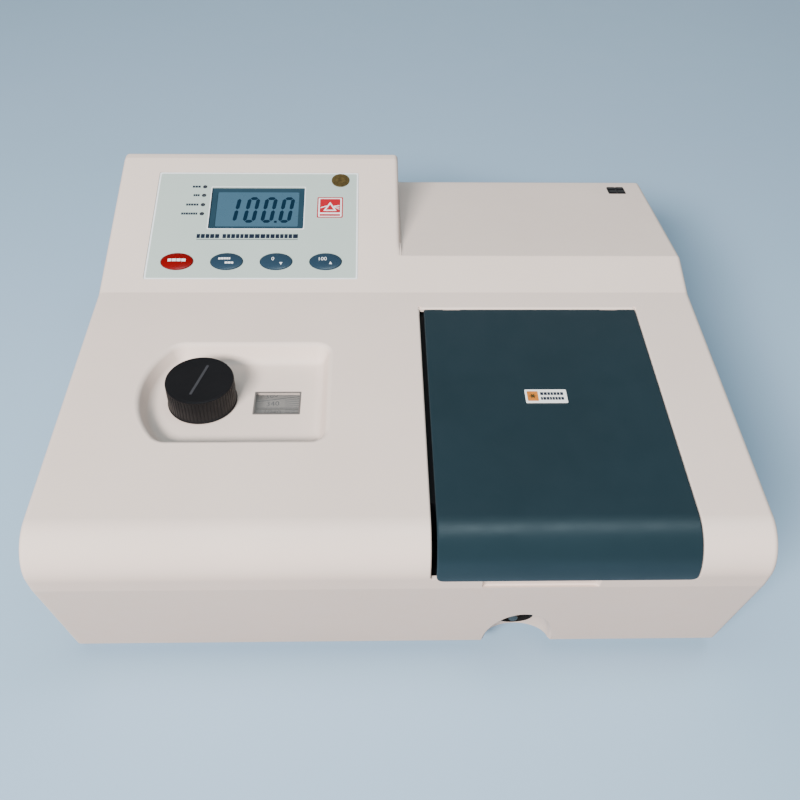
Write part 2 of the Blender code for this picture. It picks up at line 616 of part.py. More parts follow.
def make_drive():
    grip = [(0, KNOB_TOP), (19.4, KNOB_TOP), (20.2, KNOB_TOP - 0.8), (KNOB_R, 137.5)]
    grip += [(KNOB_R + 1.4, 136.4), (KNOB_R + 1.4, POCKET_FLOOR + 0.5), (0, POCKET_FLOOR + 0.5)]
    knob = turned("wavelength_knob", grip, (KNOB_X, KNOB_Y, 0), look=BLACK, sides=40)
    cut(knob, rod("knob_bore", (KNOB_X, KNOB_Y, 120), SHAFT_R + GAP, 28, sides=16))

    facing = math.radians(GRATING_TURN)
    shaft = rod("dial_shaft", (KNOB_X, KNOB_Y, 82), SHAFT_R, 65.7, look=STEEL, sides=16)
    pinion = gear_ring(PINION_TEETH, 0, PINION_TEETH, (KNOB_X, KNOB_Y), facing)
    join(shaft, outline("pinion", pinion, *GEAR_Z))
    hub = rod("wavelength_dial", (KNOB_X, KNOB_Y, DIAL_Z[0] - 5), 9, 5.5, look=DIAL)
    join(hub, rod("dial_disc", (KNOB_X, KNOB_Y, DIAL_Z[0]), DIAL_R, DIAL_Z[1] - DIAL_Z[0], sides=64))
    cut(hub, rod("dial_bore", (KNOB_X, KNOB_Y, 110), SHAFT_R + GAP, 30, sides=16))
    bush = rod("shaft_bushing", (KNOB_X, KNOB_Y, 84), 7, 11, look=BRASS, sides=20)
    cut(bush, rod("bush_bore", (KNOB_X, KNOB_Y, 80), SHAFT_R + GAP, 20, sides=16))
    window = (POCKET_FLOOR - 2.2, POCKET_FLOOR - 0.2)
    box("dial_window", WINDOW_X, WINDOW_Y, window, CLEAR)

    axis = grating_axis()
    foot = FLOOR + 3 + GAP
    table = rod("grating_turntable", (*axis, foot), 4, 104 - foot, look=ALUMINIUM, sides=16)
    towards = facing + math.pi
    half_step = math.pi / SECTOR_TEETH
    teeth = gear_ring(SECTOR_TEETH, -9, 9, axis, towards + half_step)
    corners = [towards + 1.2, towards - 1.2]
    sector = [(axis[0] + 8 * math.cos(turn), axis[1] + 8 * math.sin(turn)) for turn in corners]
    join(table, outline("sector", teeth + sector, *GEAR_Z), rod("sector_hub", (*axis, 94), 9, 10))
    plate = box("grating_plate", (-18, 18), (-5, 5), (-16, 16))
    plate.location = Vector((*axis, BEAM_Z)) * MM
    plate.rotation_euler.z = math.radians(20)
    join(table, plate)
    grating = box("grating", (-15, 15), (-3, 3), (-15, 15), MIRROR)
    grating.matrix_world = (
        Matrix.Translation(Vector((*axis, BEAM_Z)) * MM)
        @ Matrix.Rotation(math.radians(20), 4, "Z")
        @ Matrix.Translation((0, -(5 + 3 + GAP) * MM, 0))
    )


def facing_between(at, first, second):
    """The direction that sends light from one point to another, in degrees about +Z."""
    here = Vector(at)
    bisector = (Vector(first) - here).normalized() + (Vector(second) - here).normalized()
    return math.atan2(bisector.y, bisector.x)


def make_mirror(name, at, first, second, radius, thickness=6.0):
    """A round mirror, its face towards the light, and the cast post behind it."""
    turn = Matrix.Rotation(facing_between(at, first, second), 4, "Z")
    mirror = rod(name, (0, 0, 0), radius, thickness, "x", MIRROR)
    back = Matrix.Translation((-thickness * MM, 0, 0))
    mirror.matrix_world = Matrix.Translation(Vector((*at, BEAM_Z)) * MM) @ turn @ back
    behind = -thickness - GAP
    post = box(name + "_post", (behind - 8, behind), (-radius, radius), (FLOOR + 2, BEAM_Z + radius))
    post.matrix_world = Matrix.Translation(Vector((*at, 0)) * MM) @ turn @ post.matrix_basis
    return post


def make_monochromator():
    housing = box("monochromator_housing", MONO_X, MONO_Y, (FLOOR, MONO_TOP), ALUMINIUM)
    inner = [(low + MONO_WALL, high - MONO_WALL) for low, high in (MONO_X, MONO_Y)]
    cut(housing, box("mono_hollow", *inner, (FLOOR + 3, MONO_TOP + 9)))
    axis = grating_axis()
    collimator, focuser = (ENTRANCE_X, -112.0), (-160.0, -100.0)
    join(
        housing,
        make_mirror("collimating_mirror", collimator, (ENTRANCE_X, MONO_Y[1]), axis, 18),
        make_mirror("focusing_mirror", focuser, axis, (MONO_X[1], BEAM_Y), 20),
    )
    cut(housing, rod("exit_hole", (-5, BEAM_Y, BEAM_Z), 5, 30, "x", sides=16))
    cut(housing, rod("entrance_hole", (ENTRANCE_X, 38, BEAM_Z), 5, 30, "y", sides=16))

    lid = box("monochromator_lid", MONO_X, MONO_Y, (MONO_TOP + GAP, MONO_TOP + 3), ALUMINIUM)
    cut(lid, rod("bush_hole", (KNOB_X, KNOB_Y, 80), 7 + GAP, 20, sides=20))
    cut(lid, rod("table_hole", (*axis, 80), 4 + 0.5, 20, sides=16))

    tall = (BEAM_Z - 12, BEAM_Z + 12)
    deep = (BEAM_Y - 12, BEAM_Y + 12)
    exit_slit = box("exit_slit", (MONO_X[1] + GAP, MONO_X[1] + 1.5), deep, tall, STEEL)
    cut(exit_slit, box("exit_cut", (0, 20), (BEAM_Y - 0.6, BEAM_Y + 0.6), (44, 56)))
    wide = (ENTRANCE_X - 12, ENTRANCE_X + 12)
    entrance = box("entrance_slit", wide, (MONO_Y[1] + GAP, MONO_Y[1] + 1.5), tall, STEEL)
    cut(entrance, box("entrance_cut", (ENTRANCE_X - 0.6, ENTRANCE_X + 0.6), (40, 60), (44, 56)))


def make_light_source():
    x, y, z = (50.0, 125.0), (68.0, 150.0), (FLOOR, 112.0)
    housing = box("lamp_housing", x, y, z, ZINC)
    cut(housing, box("lamp_hollow", (x[0] + 2, x[1] - 2), (y[0] + 2, y[1] + 9), (FLOOR + 2, z[1] - 2)))
    cut(housing, rod("lens_hole", (x[0] - 9, LAMP_Y, BEAM_Z), 15 + GAP, 20, "x"))
    lens = [(0, 3.5), (8, 2.9), (15, 1.2), (15, -1.2), (8, -2.9), (0, -3.5)]
    turned("condenser_lens", lens, (x[0] + 1, LAMP_Y, BEAM_Z), "x", CLEAR, sides=24)
    lamp = [(0, 40), (4, 39), (6, 36), (6, 26), (4.5, 22), (4.5, 14), (3, 13), (3, 6), (0, 6)]
    turned("halogen_lamp", lamp, (LAMP_X, LAMP_Y, FLOOR + 18), look=CLEAR, sides=20)
    holder = [(0, 22), (8, 22), (9, 21), (9, 8), (14, 7), (14, 0), (0, 0)]
    socket = turned("lamp_socket", holder, (LAMP_X, LAMP_Y, FLOOR + 2 + GAP), look=CERAMIC, sides=20)
    cut(socket, rod("socket_bore", (LAMP_X, LAMP_Y, FLOOR + 22), 3 + GAP, 20, sides=16))
    mirror = box("steering_mirror", (-2, 2), (-16, 16), (-16, 16), MIRROR)
    place_at = Matrix.Translation(Vector((ENTRANCE_X, LAMP_Y, BEAM_Z)) * MM)
    turn = Matrix.Rotation(math.radians(-45), 4, "Z")
    mirror.matrix_world = place_at @ turn @ Matrix.Translation((-2 * MM, 0, 0))
    mount = box("steering_mirror_mount", (-10, -4.3), (-16, 16), (FLOOR - BEAM_Z, 16), ZINC)
    mount.matrix_world = place_at @ turn @ mount.matrix_basis


def make_detector():
    x = WELL_X[1] + WELL_WALL + GAP
    housing = box("detector_housing", (x, x + 34), (BEAM_Y - 18, BEAM_Y + 18), (FLOOR, 76), BLACK)
    cut(housing, rod("detector_bore", (x - 5, BEAM_Y, BEAM_Z), 9, 27, "x"))
    diode = [(0, 14), (3.5, 13.5), (5, 12), (5, 6), (8, 6), (8, 0), (0, 0)]
    sensor = turned("photodiode", diode, (0, 0, 0), "x", STEEL, sides=20)
    seat = Matrix.Translation(Vector((x + 21.5, BEAM_Y, BEAM_Z)) * MM)
    sensor.matrix_world = seat @ Matrix.Rotation(math.pi, 4, "Z") @ AXES["x"]


# ---- console ------------------------------------------------------------------------------------
def ellipse(centre, half, steps=24):
    turns = [math.tau * i / steps for i in range(steps)]
    return [(centre[0] + half[0] * math.cos(t), centre[1] + half[1] * math.sin(t)) for t in turns]


def make_console():
    corners = rectangle(PANEL_X, PANEL_S)
    key_room = [half + 0.4 for half in KEY_HALF]
    holes = [ellipse((x, KEY_S), key_room) for x in KEY_X.values()]
    holes += [ellipse((LED_X, s), (1.9, 1.9), 12) for s in LED_S]
    holes.append(rectangle(LCD_X, LCD_S))
    outline("keypad_panel", corners, *PANEL_N, "z", PANEL, CONSOLE, holes)

    wide = KEY_HALF[0]
    dome = [(0, 1.1), (wide * 0.55, 0.85), (wide * 0.85, 0.3), (wide, -0.6), (wide, -1.9)]
    dome += [(wide + 1.6, -1.9), (wide + 1.6, -2.8), (4, -2.8), (4, -4.0), (0, -4.0)]
    for name, x in KEY_X.items():
        look = RED if name == "mode" else BLUE
        key = turned(f"key_{name}", dome, (x, KEY_S, 0), look=look, parent=CONSOLE, sides=28)
        key.scale = (1, KEY_HALF[1] / KEY_HALF[0], 1)
    strip = ((LED_X - 2.6, LED_X + 2.6), (LED_S[-1] - 4, LED_S[0] + 4))
    pipe = box("status_light_pipe", *strip, (-9.4, -6), LED, CONSOLE)
    for i, s in enumerate(LED_S):
        join(pipe, rod(f"light_{i}", (LED_X, s, -7), 1.5, 7, parent=CONSOLE, sides=12))
    at = (STICKER_X, STICKER_S, PANEL_N[1] + GAP)
    rod("inspection_label", at, STICKER_R, 0.4, look=BRASS, parent=CONSOLE, sides=32)
    frame = ((LCD_X[0] - 2.2, LCD_X[1] + 3), (LCD_S[0] - 3, LCD_S[1] + 3))
    box("lcd_module", *frame, (-8.5, PANEL_N[0] - GAP), LCD, CONSOLE)

    size = ((PANEL_X[0] + 8, PANEL_X[1] - 8), (PANEL_S[0] + 8, PANEL_S[1] - 8))
    board = box("display_board", *size, BOARD_N, BOARD, CONSOLE)
    for name, x in KEY_X.items():
        join(board, rod(f"switch_{name}", (x, KEY_S, BOARD_N[1] - 0.5), 3, 5, parent=CONSOLE, sides=16))


# ---- electronics and the back -------------------------------------------------------------------
def make_electronics():
    board = box("main_board", (-185.0, -45.0), (66.0, 168.0), (28.0, 29.6), BOARD)
    for i, (x, y) in enumerate(((-178, 73), (-52, 73), (-178, 161), (-52, 161))):
        join(board, rod(f"standoff_{i}", (x, y, FLOOR), 3.5, 12.5, sides=12))
    chips = (
        ((-160, -130), (90, 104)),
        ((-118, -84), (120, 134)),
        ((-160, -138), (130, 152)),
        ((-80, -64), (84, 112)),
    )
    for i, (x, y) in enumerate(chips):
        join(board, box(f"chip_{i}", x, y, (29, 35)))
    coil = box("transformer", (140, 196), (62, 122), (FLOOR + 6, 66), ZINC, bevel=2.0)
    join(coil, box("coil_winding", (146, 190), (52, 132), (FLOOR + 14, 58)))
    join(coil, box("coil_flange", (134, 200), (80, 104), (FLOOR, FLOOR + 8)))


def make_rear():
    y0, y1 = PANEL_REAR_Y
    panel = box("rear_panel", (-185, 185), PANEL_REAR_Y, (24, 110), ZINC)
    cut(panel, block("inlet_cut", (INLET_X, INLET_Z), (14.5, 11), (180, 210)))
    cut(panel, block("switch_cut", (SWITCH_X, SWITCH_Z), (9.5, 13), (180, 210)))
    cut(panel, rod("fan_hole", (FAN_X, 180, FAN_Z), 27, 30, "y", sides=32))
    cut(panel, rod("fuse_cut", (FUSE_X, 180, INLET_Z), 6.5, 30, "y", sides=20))

    lip = y1 + GAP
    middle = (INLET_X, INLET_Z)
    inlet = block("power_inlet", middle, (20, 13), (lip, lip + 2.3), BLACK)
    join(inlet, block("inlet_body", middle, (14, 10.5), (lip - 20, lip + 1)))
    cut(inlet, block("inlet_socket", middle, (11.8, 8), (lip - 14, 210)))
    for i, (dx, dz) in enumerate(((-7, -2), (7, -2), (0, 2))):
        x, z = INLET_X + dx, INLET_Z + dz
        join(inlet, box(f"blade_{i}", (x - 1, x + 1), (lip - 16, lip - 4), (z - 2, z + 2)))

    middle = (SWITCH_X, SWITCH_Z)
    frame = block("switch_frame", middle, (12, 16), (lip, lip + 2.3), BLACK)
    join(frame, block("switch_body", middle, (9, 12.5), (lip - 20, lip + 1)))
    cut(frame, block("switch_hollow", middle, (7.4, 11), (lip - 14, 210)))
    face = [(-9.6, 4.6), (0, 3.2), (9.6, 4.6), (9.6, -1), (3, -5), (-3, -5), (-9.6, -1)]
    rocker = outline("power_rocker", [(b, a) for a, b in face], -6.9, 6.9, "x", RED)
    rocker.data.transform(AXES["x"])
    pivot = Matrix.Translation(Vector((SWITCH_X, lip - 1.5, SWITCH_Z)) * MM)
    rocker.matrix_world = pivot @ Matrix.Rotation(math.radians(ROCKER_TILT), 4, "X")

    fuse = rod("fuse_holder", (FUSE_X, lip - 22, INLET_Z), 6.0, 22.5, "y", BLACK, sides=20)
    join(fuse, rod("fuse_cap", (FUSE_X, lip, INLET_Z), 7.5, 2.6, "y", sides=20))

    half = FAN_SIDE / 2
    depth = (y0 - GAP - 15, y0 - GAP)
    fan = box("fan_frame", (FAN_X - half, FAN_X + half), depth, (FAN_Z - half, FAN_Z + half), BLACK)
    cut(fan, rod("fan_bore", (FAN_X, 160, FAN_Z), 28, 50, "y", sides=32))
    join(fan, rod("fan_motor_seat", (FAN_X, depth[0], FAN_Z), 13, 2, "y", sides=20))
    for i in range(3):
        strut = box(f"fan_strut_{i}", (8, 30), (0.1, 2), (-1.5, 1.5))
        strut.matrix_world = (
            Matrix.Translation(Vector((FAN_X, depth[0], FAN_Z)) * MM)
            @ Matrix.Rotation(math.radians(120 * i + 90), 4, "Y")
            @ strut.matrix_basis
        )
        join(fan, strut)
    rotor = rod("fan_rotor", (FAN_X, depth[0] + 2.5, FAN_Z), 12, 11, "y", BLACK, sides=20)
    for i in range(7):
        blade = box(f"fan_blade_{i}", (10, 26), (-0.7, 0.7), (-5.5, 5.5))
        blade.matrix_world = (
            Matrix.Translation(Vector((FAN_X, depth[0] + 8, FAN_Z)) * MM)
            @ Matrix.Rotation(math.tau * i / 7, 4, "Y")
            @ Matrix.Rotation(math.radians(35), 4, "X")
            @ blade.matrix_basis
        )
        join(rotor, blade)


make_cover()
make_plug()
make_base()
make_lid()
make_well()
make_carriage()
make_drive()
make_monochromator()
make_light_source()
make_detector()
make_console()
make_electronics()
make_rear()
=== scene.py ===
"""The looks of the bench spectrophotometer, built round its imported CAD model.

Sizes are in millimetres in the CAD's frame, and become metres where a mesh is made. Only the camera and the
lights are placed in metres.
"""

import json
import math
import random

import bmesh
import bpy
from mathutils import Matrix, Vector


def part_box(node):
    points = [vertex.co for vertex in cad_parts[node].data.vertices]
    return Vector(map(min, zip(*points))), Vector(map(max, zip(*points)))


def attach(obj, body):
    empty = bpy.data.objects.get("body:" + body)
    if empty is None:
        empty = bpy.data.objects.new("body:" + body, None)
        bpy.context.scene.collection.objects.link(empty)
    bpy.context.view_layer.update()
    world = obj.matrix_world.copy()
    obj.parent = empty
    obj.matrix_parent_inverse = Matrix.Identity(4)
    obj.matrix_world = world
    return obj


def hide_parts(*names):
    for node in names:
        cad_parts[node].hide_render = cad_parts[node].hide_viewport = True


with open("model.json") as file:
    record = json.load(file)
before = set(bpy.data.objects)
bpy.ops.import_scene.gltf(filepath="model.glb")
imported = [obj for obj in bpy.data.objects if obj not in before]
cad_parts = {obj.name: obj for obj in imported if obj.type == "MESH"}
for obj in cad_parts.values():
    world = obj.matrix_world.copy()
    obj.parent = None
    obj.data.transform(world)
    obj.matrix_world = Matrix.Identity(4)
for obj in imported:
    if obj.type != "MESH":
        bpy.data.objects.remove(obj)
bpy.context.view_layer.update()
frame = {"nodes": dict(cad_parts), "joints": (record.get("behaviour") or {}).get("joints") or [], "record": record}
MM = 0.001


def extent(node):
    """The x, y and z reach of a CAD node, in millimetres."""
    low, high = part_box(node)
    return [(a / MM, b / MM) for a, b in zip(low, high)]


def grown(reach, more):
    """A (low, high) reach made longer at both ends, or shorter where more is negative."""
    return reach[0] - more, reach[1] + more


def middle_of(reach):
    return sum(reach) / 2


# ---- sizes --------------------------------------------------------------------------------------
(_, HALF), (_, BACK), (FOOT, _) = extent("top_cover")
WALL = 3.0
DECK_Z = 146.5
NOSE_Y, NOSE_Z, NOSE_R = -173.0, 122.5, 24.0
CREASE = (-195.0, 108.0)
SKIRT_FOOT = (-170.5, FOOT)
CONSOLE_Y, TILT, CONSOLE_LENGTH = 29.5, 14.0, 133.0
CONSOLE_FLAT = 7.0
CONSOLE_BACK_Z = 140.0
CONSOLE_RIGHT = 3.5
RIDGE_LENGTH, REAR_SLOPE = 34.0, 8.2
END_R = 3.6  # rounding along the two sides of the cover
CORNER_R = 4.2  # rounding of the other outside corners, which must be the larger

BAY_X, BAY_BACK, BAY_FRONT_Z = (16.0, 167.5), 11.5, 118.5
LID_X = extent("sample_lid")[0]
LID_RISE, LID_WALL = 1.2, 3.0
HINGE_Y, HINGE_R = 7.5, 3.0
HINGE_Z = DECK_Z + LID_RISE - HINGE_R
HINGE_SPOTS = [middle_of(extent(f"lid_hinge_bracket_{side}")[0]) for side in ("left", "right")]
KNUCKLE = 12.0

POCKET_X, POCKET_Y = (-163.2, -45.0), (-114.5, -26.5)
POCKET_DEPTH, POCKET_DRAFT = 12.0, 4.5
POCKET_FLOOR = DECK_Z - POCKET_DEPTH
KNOB = [middle_of(reach) for reach in extent("wavelength_knob")[:2]]
KNOB_LOW, KNOB_TOP = extent("wavelength_knob")[2]
KNOB_R, KNOB_SKIRT_R = 21.6, 22.1
WINDOW_X, WINDOW_Y, WINDOW_Z = extent("dial_window")
DIAL_TOP = extent("wavelength_dial")[2][1]

SCOOP, SCOOP_RADII = (77.0, -170.5, 14.0), (21.4, 12.6, 48.4)
ROD_X, ROD_Z = 75.0, 27.0
HOLE_AT, HOLE_HALF = (31.0, 76.4), (16.4, 10.6)  # (z, x) of the rod's oval hole

PANEL_X, PANEL_S = (-180.0, -27.2), (12.2, 117.8)
FILM_LOW, FILM_TOP = -1.5, -0.4  # above the console's plane, as is INK_LOW
INK_LOW = FILM_TOP - 0.1
KEY_HALF, KEY_S = (11.65, 7.8), 28.8
KEY_X = {"mode": -157.8, "print": -122.0, "zero": -86.3, "full_scale": -50.5}
LCD_X, LCD_S = (-138.6, -68.0), (60.4, 102.3)
LED_X, LED_S = -144.2, (102.8, 93.9, 84.3, 75.2)
STICKER_X, STICKER_S, STICKER_R = -41.0, 109.5, 6.85
PLUG_X, PLUG_Y, PLUG_HALF = 186.8, 179.6, (7.0, 6.5)

CONSOLE = Matrix.Translation(Vector((0, CONSOLE_Y, DECK_Z))) @ Matrix.Rotation(math.radians(TILT), 4, "X")


# ---- outlines -----------------------------------------------------------------------------------
def arc(centre, radius, first, last, steps):
    """Points round a centre, from one angle to another in degrees."""
    turns = [math.radians(first + (last - first) * i / steps) for i in range(steps + 1)]
    return [(centre[0] + radius * math.cos(t), centre[1] + radius * math.sin(t)) for t in turns]


def rounded_path(corners, steps=6):
    """A path through (a, b, radius) corners, each turned into an arc of that radius."""
    made = []
    for i, (a, b, radius) in enumerate(corners):
        here = Vector((a, b))
        if not radius or i in (0, len(corners) - 1):
            made.append((a, b))
            continue
        back = (Vector(corners[i - 1][:2]) - here).normalized()
        ahead = (Vector(corners[i + 1][:2]) - here).normalized()
        half = back.angle(ahead) / 2
        centre = here + (back + ahead).normalized() * (radius / math.sin(half))
        first = here + back * (radius / math.tan(half)) - centre
        last = here + ahead * (radius / math.tan(half)) - centre
        start = math.atan2(first.y, first.x)
        turn = math.remainder(math.atan2(last.y, last.x) - start, math.tau)
        made += arc(centre, radius, math.degrees(start), math.degrees(start + turn), steps)
    return made


def path_normals(points):
    """The outward normals of a path that runs clockwise round the solid."""
    made = []
    for i in range(len(points)):
        run = Vector(points[min(i + 1, len(points) - 1)]) - Vector(points[max(i - 1, 0)])
        made.append(Vector((-run.y, run.x)).normalized())
    return made


def inset(points, distance):
    """A closed outline moved inwards. It runs anticlockwise, and a negative distance grows it."""
    made = []
    for i, point in enumerate(points):
        here = Vector(point)
        before = (here - Vector(points[i - 1])).normalized()
        after = (Vector(points[(i + 1) % len(points)]) - here).normalized()
        normals = [Vector((-edge.y, edge.x)) for edge in (before, after)]
        middle = (normals[0] + normals[1]).normalized()
        made.append(tuple(here + middle * distance / max(0.3, middle.dot(normals[0]))))
    return made


def rounded(x, y, radius, steps=5):
    """A rectangle with round corners, anticlockwise."""
    corners = ((x[1], y[1], 0), (x[0], y[1], 90), (x[0], y[0], 180), (x[1], y[0], 270))
    points = []
    for cx, cy, turn in corners:
        centre = [at - math.copysign(radius, at - middle_of(reach)) for at, reach in ((cx, x), (cy, y))]
        points += arc(centre, radius, turn, turn + 90, steps)
    return points


def ellipse(centre, half, steps=40):
    turns = [math.tau * i / steps for i in range(steps)]
    return [(centre[0] + half[0] * math.cos(t), centre[1] + half[1] * math.sin(t)) for t in turns]


# ---- meshes -------------------------------------------------------------------------------------
def loft(rings, caps=True):
    """A surface through rings of (x, y, z) points in millimetres, closed at its two ends."""
    bm = bmesh.new()
    made = [[bm.verts.new(Vector(point) * MM) for point in ring] for ring in rings]
    count = len(rings[0])
    for low, high in zip(made, made[1:]):
        for i in range(count):
            j = (i + 1) % count
            bm.faces.new((low[i], low[j], high[j], high[i]))
    if caps:
        bm.faces.new(reversed(made[0]))
        bm.faces.new(made[-1])
    bmesh.ops.recalc_face_normals(bm, faces=bm.faces)
    return bm


def along(axis, a, b, height, at=(0, 0, 0)):
    """A point at a height along an axis and (a, b) across it, which is (y, z), (z, x) or (x, y)."""
    x, y, z = {"x": (height, a, b), "y": (b, height, a), "z": (a, b, height)}[axis]
    return at[0] + x, at[1] + y, at[2] + z


def prism(points, low, high, axis="z"):
    """An outline given thickness along an axis. x takes (y, z) points, y takes (z, x) and z takes (x, y)."""
    return loft([[along(axis, a, b, height) for a, b in points] for height in (low, high)])


def cuboid(x, y, z, bevel=0.0):
    """A box, with its edges rounded where that is asked for."""
    bm = bmesh.new()
    size = Vector((x[1] - x[0], y[1] - y[0], z[1] - z[0])) * MM
    centre = Vector((sum(x), sum(y), sum(z))) / 2 * MM
    bmesh.ops.create_cube(bm, size=1.0, matrix=Matrix.Translation(centre) @ Matrix.Diagonal((*size, 1)))
    if bevel:
        bmesh.ops.bevel(bm, geom=bm.edges[:], offset=bevel * MM, segments=3, profile=0.5, affect="EDGES")
    return bm


def hoop(rings):
    """A body that closes on itself, as its last ring joins its first."""
    bm = loft([*rings, rings[0]], caps=False)
    bmesh.ops.remove_doubles(bm, verts=bm.verts, dist=0.001 * MM)
    return bm


def turned(profile, at=(0, 0, 0), sides=64, axis="z"):
    """A turned solid. The profile is (radius, height) pairs from one end of the axis to the other."""
    rings = [(ellipse((0, 0), (radius, radius), sides), height) for radius, height in profile]
    return loft([[along(axis, a, b, height, at) for a, b in ring] for ring, height in rings])


def cylinder(at, radius, length, axis="z", sides=48):
    return turned([(radius, 0), (radius, length)], at, sides, axis)


def merged(*parts):
    """Several closed bodies as one mesh."""
    whole = bmesh.new()
    for part in parts:
        mesh = bpy.data.meshes.new("part")
        part.to_mesh(mesh)
        part.free()
        whole.from_mesh(mesh)
        bpy.data.meshes.remove(mesh)
    return whole


def moved(bm, matrix):
    """A matrix in millimetres, used on a mesh in metres."""
    bm.transform(Matrix.Scale(MM, 4) @ matrix @ Matrix.Scale(1 / MM, 4))
    return bm


def placed(name, data):
    """A new object in the scene, with its mesh, curve, lamp or camera."""
    obj = bpy.data.objects.new(name, data)
    bpy.context.scene.collection.objects.link(obj)
    return obj


def plain(name, bm):
    """An object without a material, such as a cutter."""
    mesh = bpy.data.meshes.new(name)
    bm.to_mesh(mesh)
    bm.free()
    return placed(name, mesh)


def mesh_of(obj):
    """The mesh that an object shows with its modifiers."""
    return bpy.data.meshes.new_from_object(obj.evaluated_get(bpy.context.evaluated_depsgraph_get()))


def carve(obj, *cutters, operation="DIFFERENCE"):
    """Cuts, or joins, the other objects, which are then removed."""
    for other in cutters:
        made = obj.modifiers.new("Carve", "BOOLEAN")
        made.operation = operation
        made.object = other
        mesh = mesh_of(obj)
        obj.modifiers.clear()
        obj.data = mesh
        bpy.data.objects.remove(other)


def solid_of(curve, near):
    """The mesh of a text or of filled outlines, with the points joined that lie near each other."""
    obj = placed(curve.name, curve)
    mesh = mesh_of(obj)
    bpy.data.objects.remove(obj)
    bm = bmesh.new()
    bm.from_mesh(mesh)
    bpy.data.meshes.remove(mesh)
    bmesh.ops.remove_doubles(bm, verts=bm.verts, dist=near)
    return bm


def finish_surface(obj, angle=35, bevel=0.0):
    """Smooth shading with true edges, and a small rounding where it is asked for."""
    if bevel:
        weld = obj.modifiers.new("Weld", "WELD")
        weld.merge_threshold = 0.01 * MM
        rounding = obj.modifiers.new("Soft edges", "BEVEL")
        rounding.width = bevel * MM
        rounding.segments = 2
        rounding.limit_method = "ANGLE"
        rounding.angle_limit = math.radians(40)
    obj.data.shade_smooth()
    obj.data.set_sharp_from_angle(angle=math.radians(angle))
    weighted = obj.modifiers.new("Even shading", "WEIGHTED_NORMAL")
    weighted.keep_sharp = True


def piece(name, shape, look, body="case", stands_for=(), angle=35, bevel=0.0):
    """A visible piece from a mesh or an object, with its material, its body and what it stands for."""
    if isinstance(shape, bpy.types.Object):
        obj = shape
        obj.name = name
        obj.data.name = name
    else:
        obj = plain(name, shape)
    obj.data.materials.clear()
    obj.data.materials.append(look)
    finish_surface(obj, angle, bevel)
    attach(obj, body)
    if stands_for:
        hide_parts(*stands_for)


def stand_in(name, shape, node, slot, body="case", angle=35, bevel=0.0):
    """A piece that shows in place of a CAD node, in the look of its material slot."""
    piece(name, shape, LOOKS[slot], body, [node], angle, bevel)


# ---- materials ----------------------------------------------------------------------------------
def linear(red, green, blue):
    """An sRGB colour, 0 to 255, as Blender's linear values."""
    made = []
    for value in (red, green, blue):
        share = value / 255
        made.append(share / 12.92 if share <= 0.04045 else ((share + 0.055) / 1.055) ** 2.4)
    return tuple(made)


def set_inputs(node, values):
    for socket, value in values.items():
        node.inputs[socket].default_value = value


def noise(tree, scale, detail, stretch):
    """A noise texture in the object's own space, in features per metre."""
    coordinates = tree.nodes.new("ShaderNodeTexCoord")
    source = coordinates.outputs["Object"]
    if stretch:
        mapping = tree.nodes.new("ShaderNodeMapping")
        set_inputs(mapping, {"Scale": stretch})
        tree.links.new(source, mapping.inputs["Vector"])
        source = mapping.outputs["Vector"]
    texture = tree.nodes.new("ShaderNodeTexNoise")
    set_inputs(texture, {"Scale": scale, "Detail": detail})
    tree.links.new(source, texture.inputs["Vector"])
    return texture.outputs["Fac"]


def surface(
    name, colour, roughness, metallic=0.0, vary=0.06, patch=25.0, grain=1500.0, bump=0.1, rough_vary=0.06,
    stretch=None, coat=0.0, transmission=0.0, specular=0.5, alpha=1.0,
):
    """A material with patchy colour, uneven gloss and a fine grain in its surface."""
    made = bpy.data.materials.new(name)
    made.use_nodes = True
    tree = made.node_tree
    shader = tree.nodes["Principled BSDF"]
    set_inputs(shader, {"Metallic": metallic, "Specular IOR Level": specular, "Alpha": alpha})
    set_inputs(shader, {"Coat Weight": coat, "Coat Roughness": 0.08, "Transmission Weight": transmission})

    ramp = tree.nodes.new("ShaderNodeValToRGB")
    for stop, position, factor in zip(ramp.color_ramp.elements, (0.3, 0.7), (1 - vary, 1 + vary)):
        stop.position = position
        stop.color = (*[min(1.0, value * factor) for value in colour], 1)
    tree.links.new(noise(tree, patch, 4.0, stretch), ramp.inputs["Fac"])
    tree.links.new(ramp.outputs["Color"], shader.inputs["Base Color"])

    gloss = tree.nodes.new("ShaderNodeMapRange")
    low, high = max(0.02, roughness - rough_vary), min(1.0, roughness + rough_vary)
    set_inputs(gloss, {"From Min": 0.3, "From Max": 0.7, "To Min": low, "To Max": high})
    tree.links.new(noise(tree, patch * 6, 3.0, stretch), gloss.inputs["Value"])
    tree.links.new(gloss.outputs["Result"], shader.inputs["Roughness"])

    relief = tree.nodes.new("ShaderNodeBump")
    set_inputs(relief, {"Strength": bump, "Distance": 0.0002})
    tree.links.new(noise(tree, grain, 2.0, stretch), relief.inputs["Height"])
    tree.links.new(relief.outputs["Normal"], shader.inputs["Normal"])
    return made


BRUSHED = (1.0, 1.0, 14.0)
LOOKS = {}


def look(name, *colour_and_roughness, **more):
    """The material of a slot in the record."""
    LOOKS[name] = surface(name, *colour_and_roughness, **more)


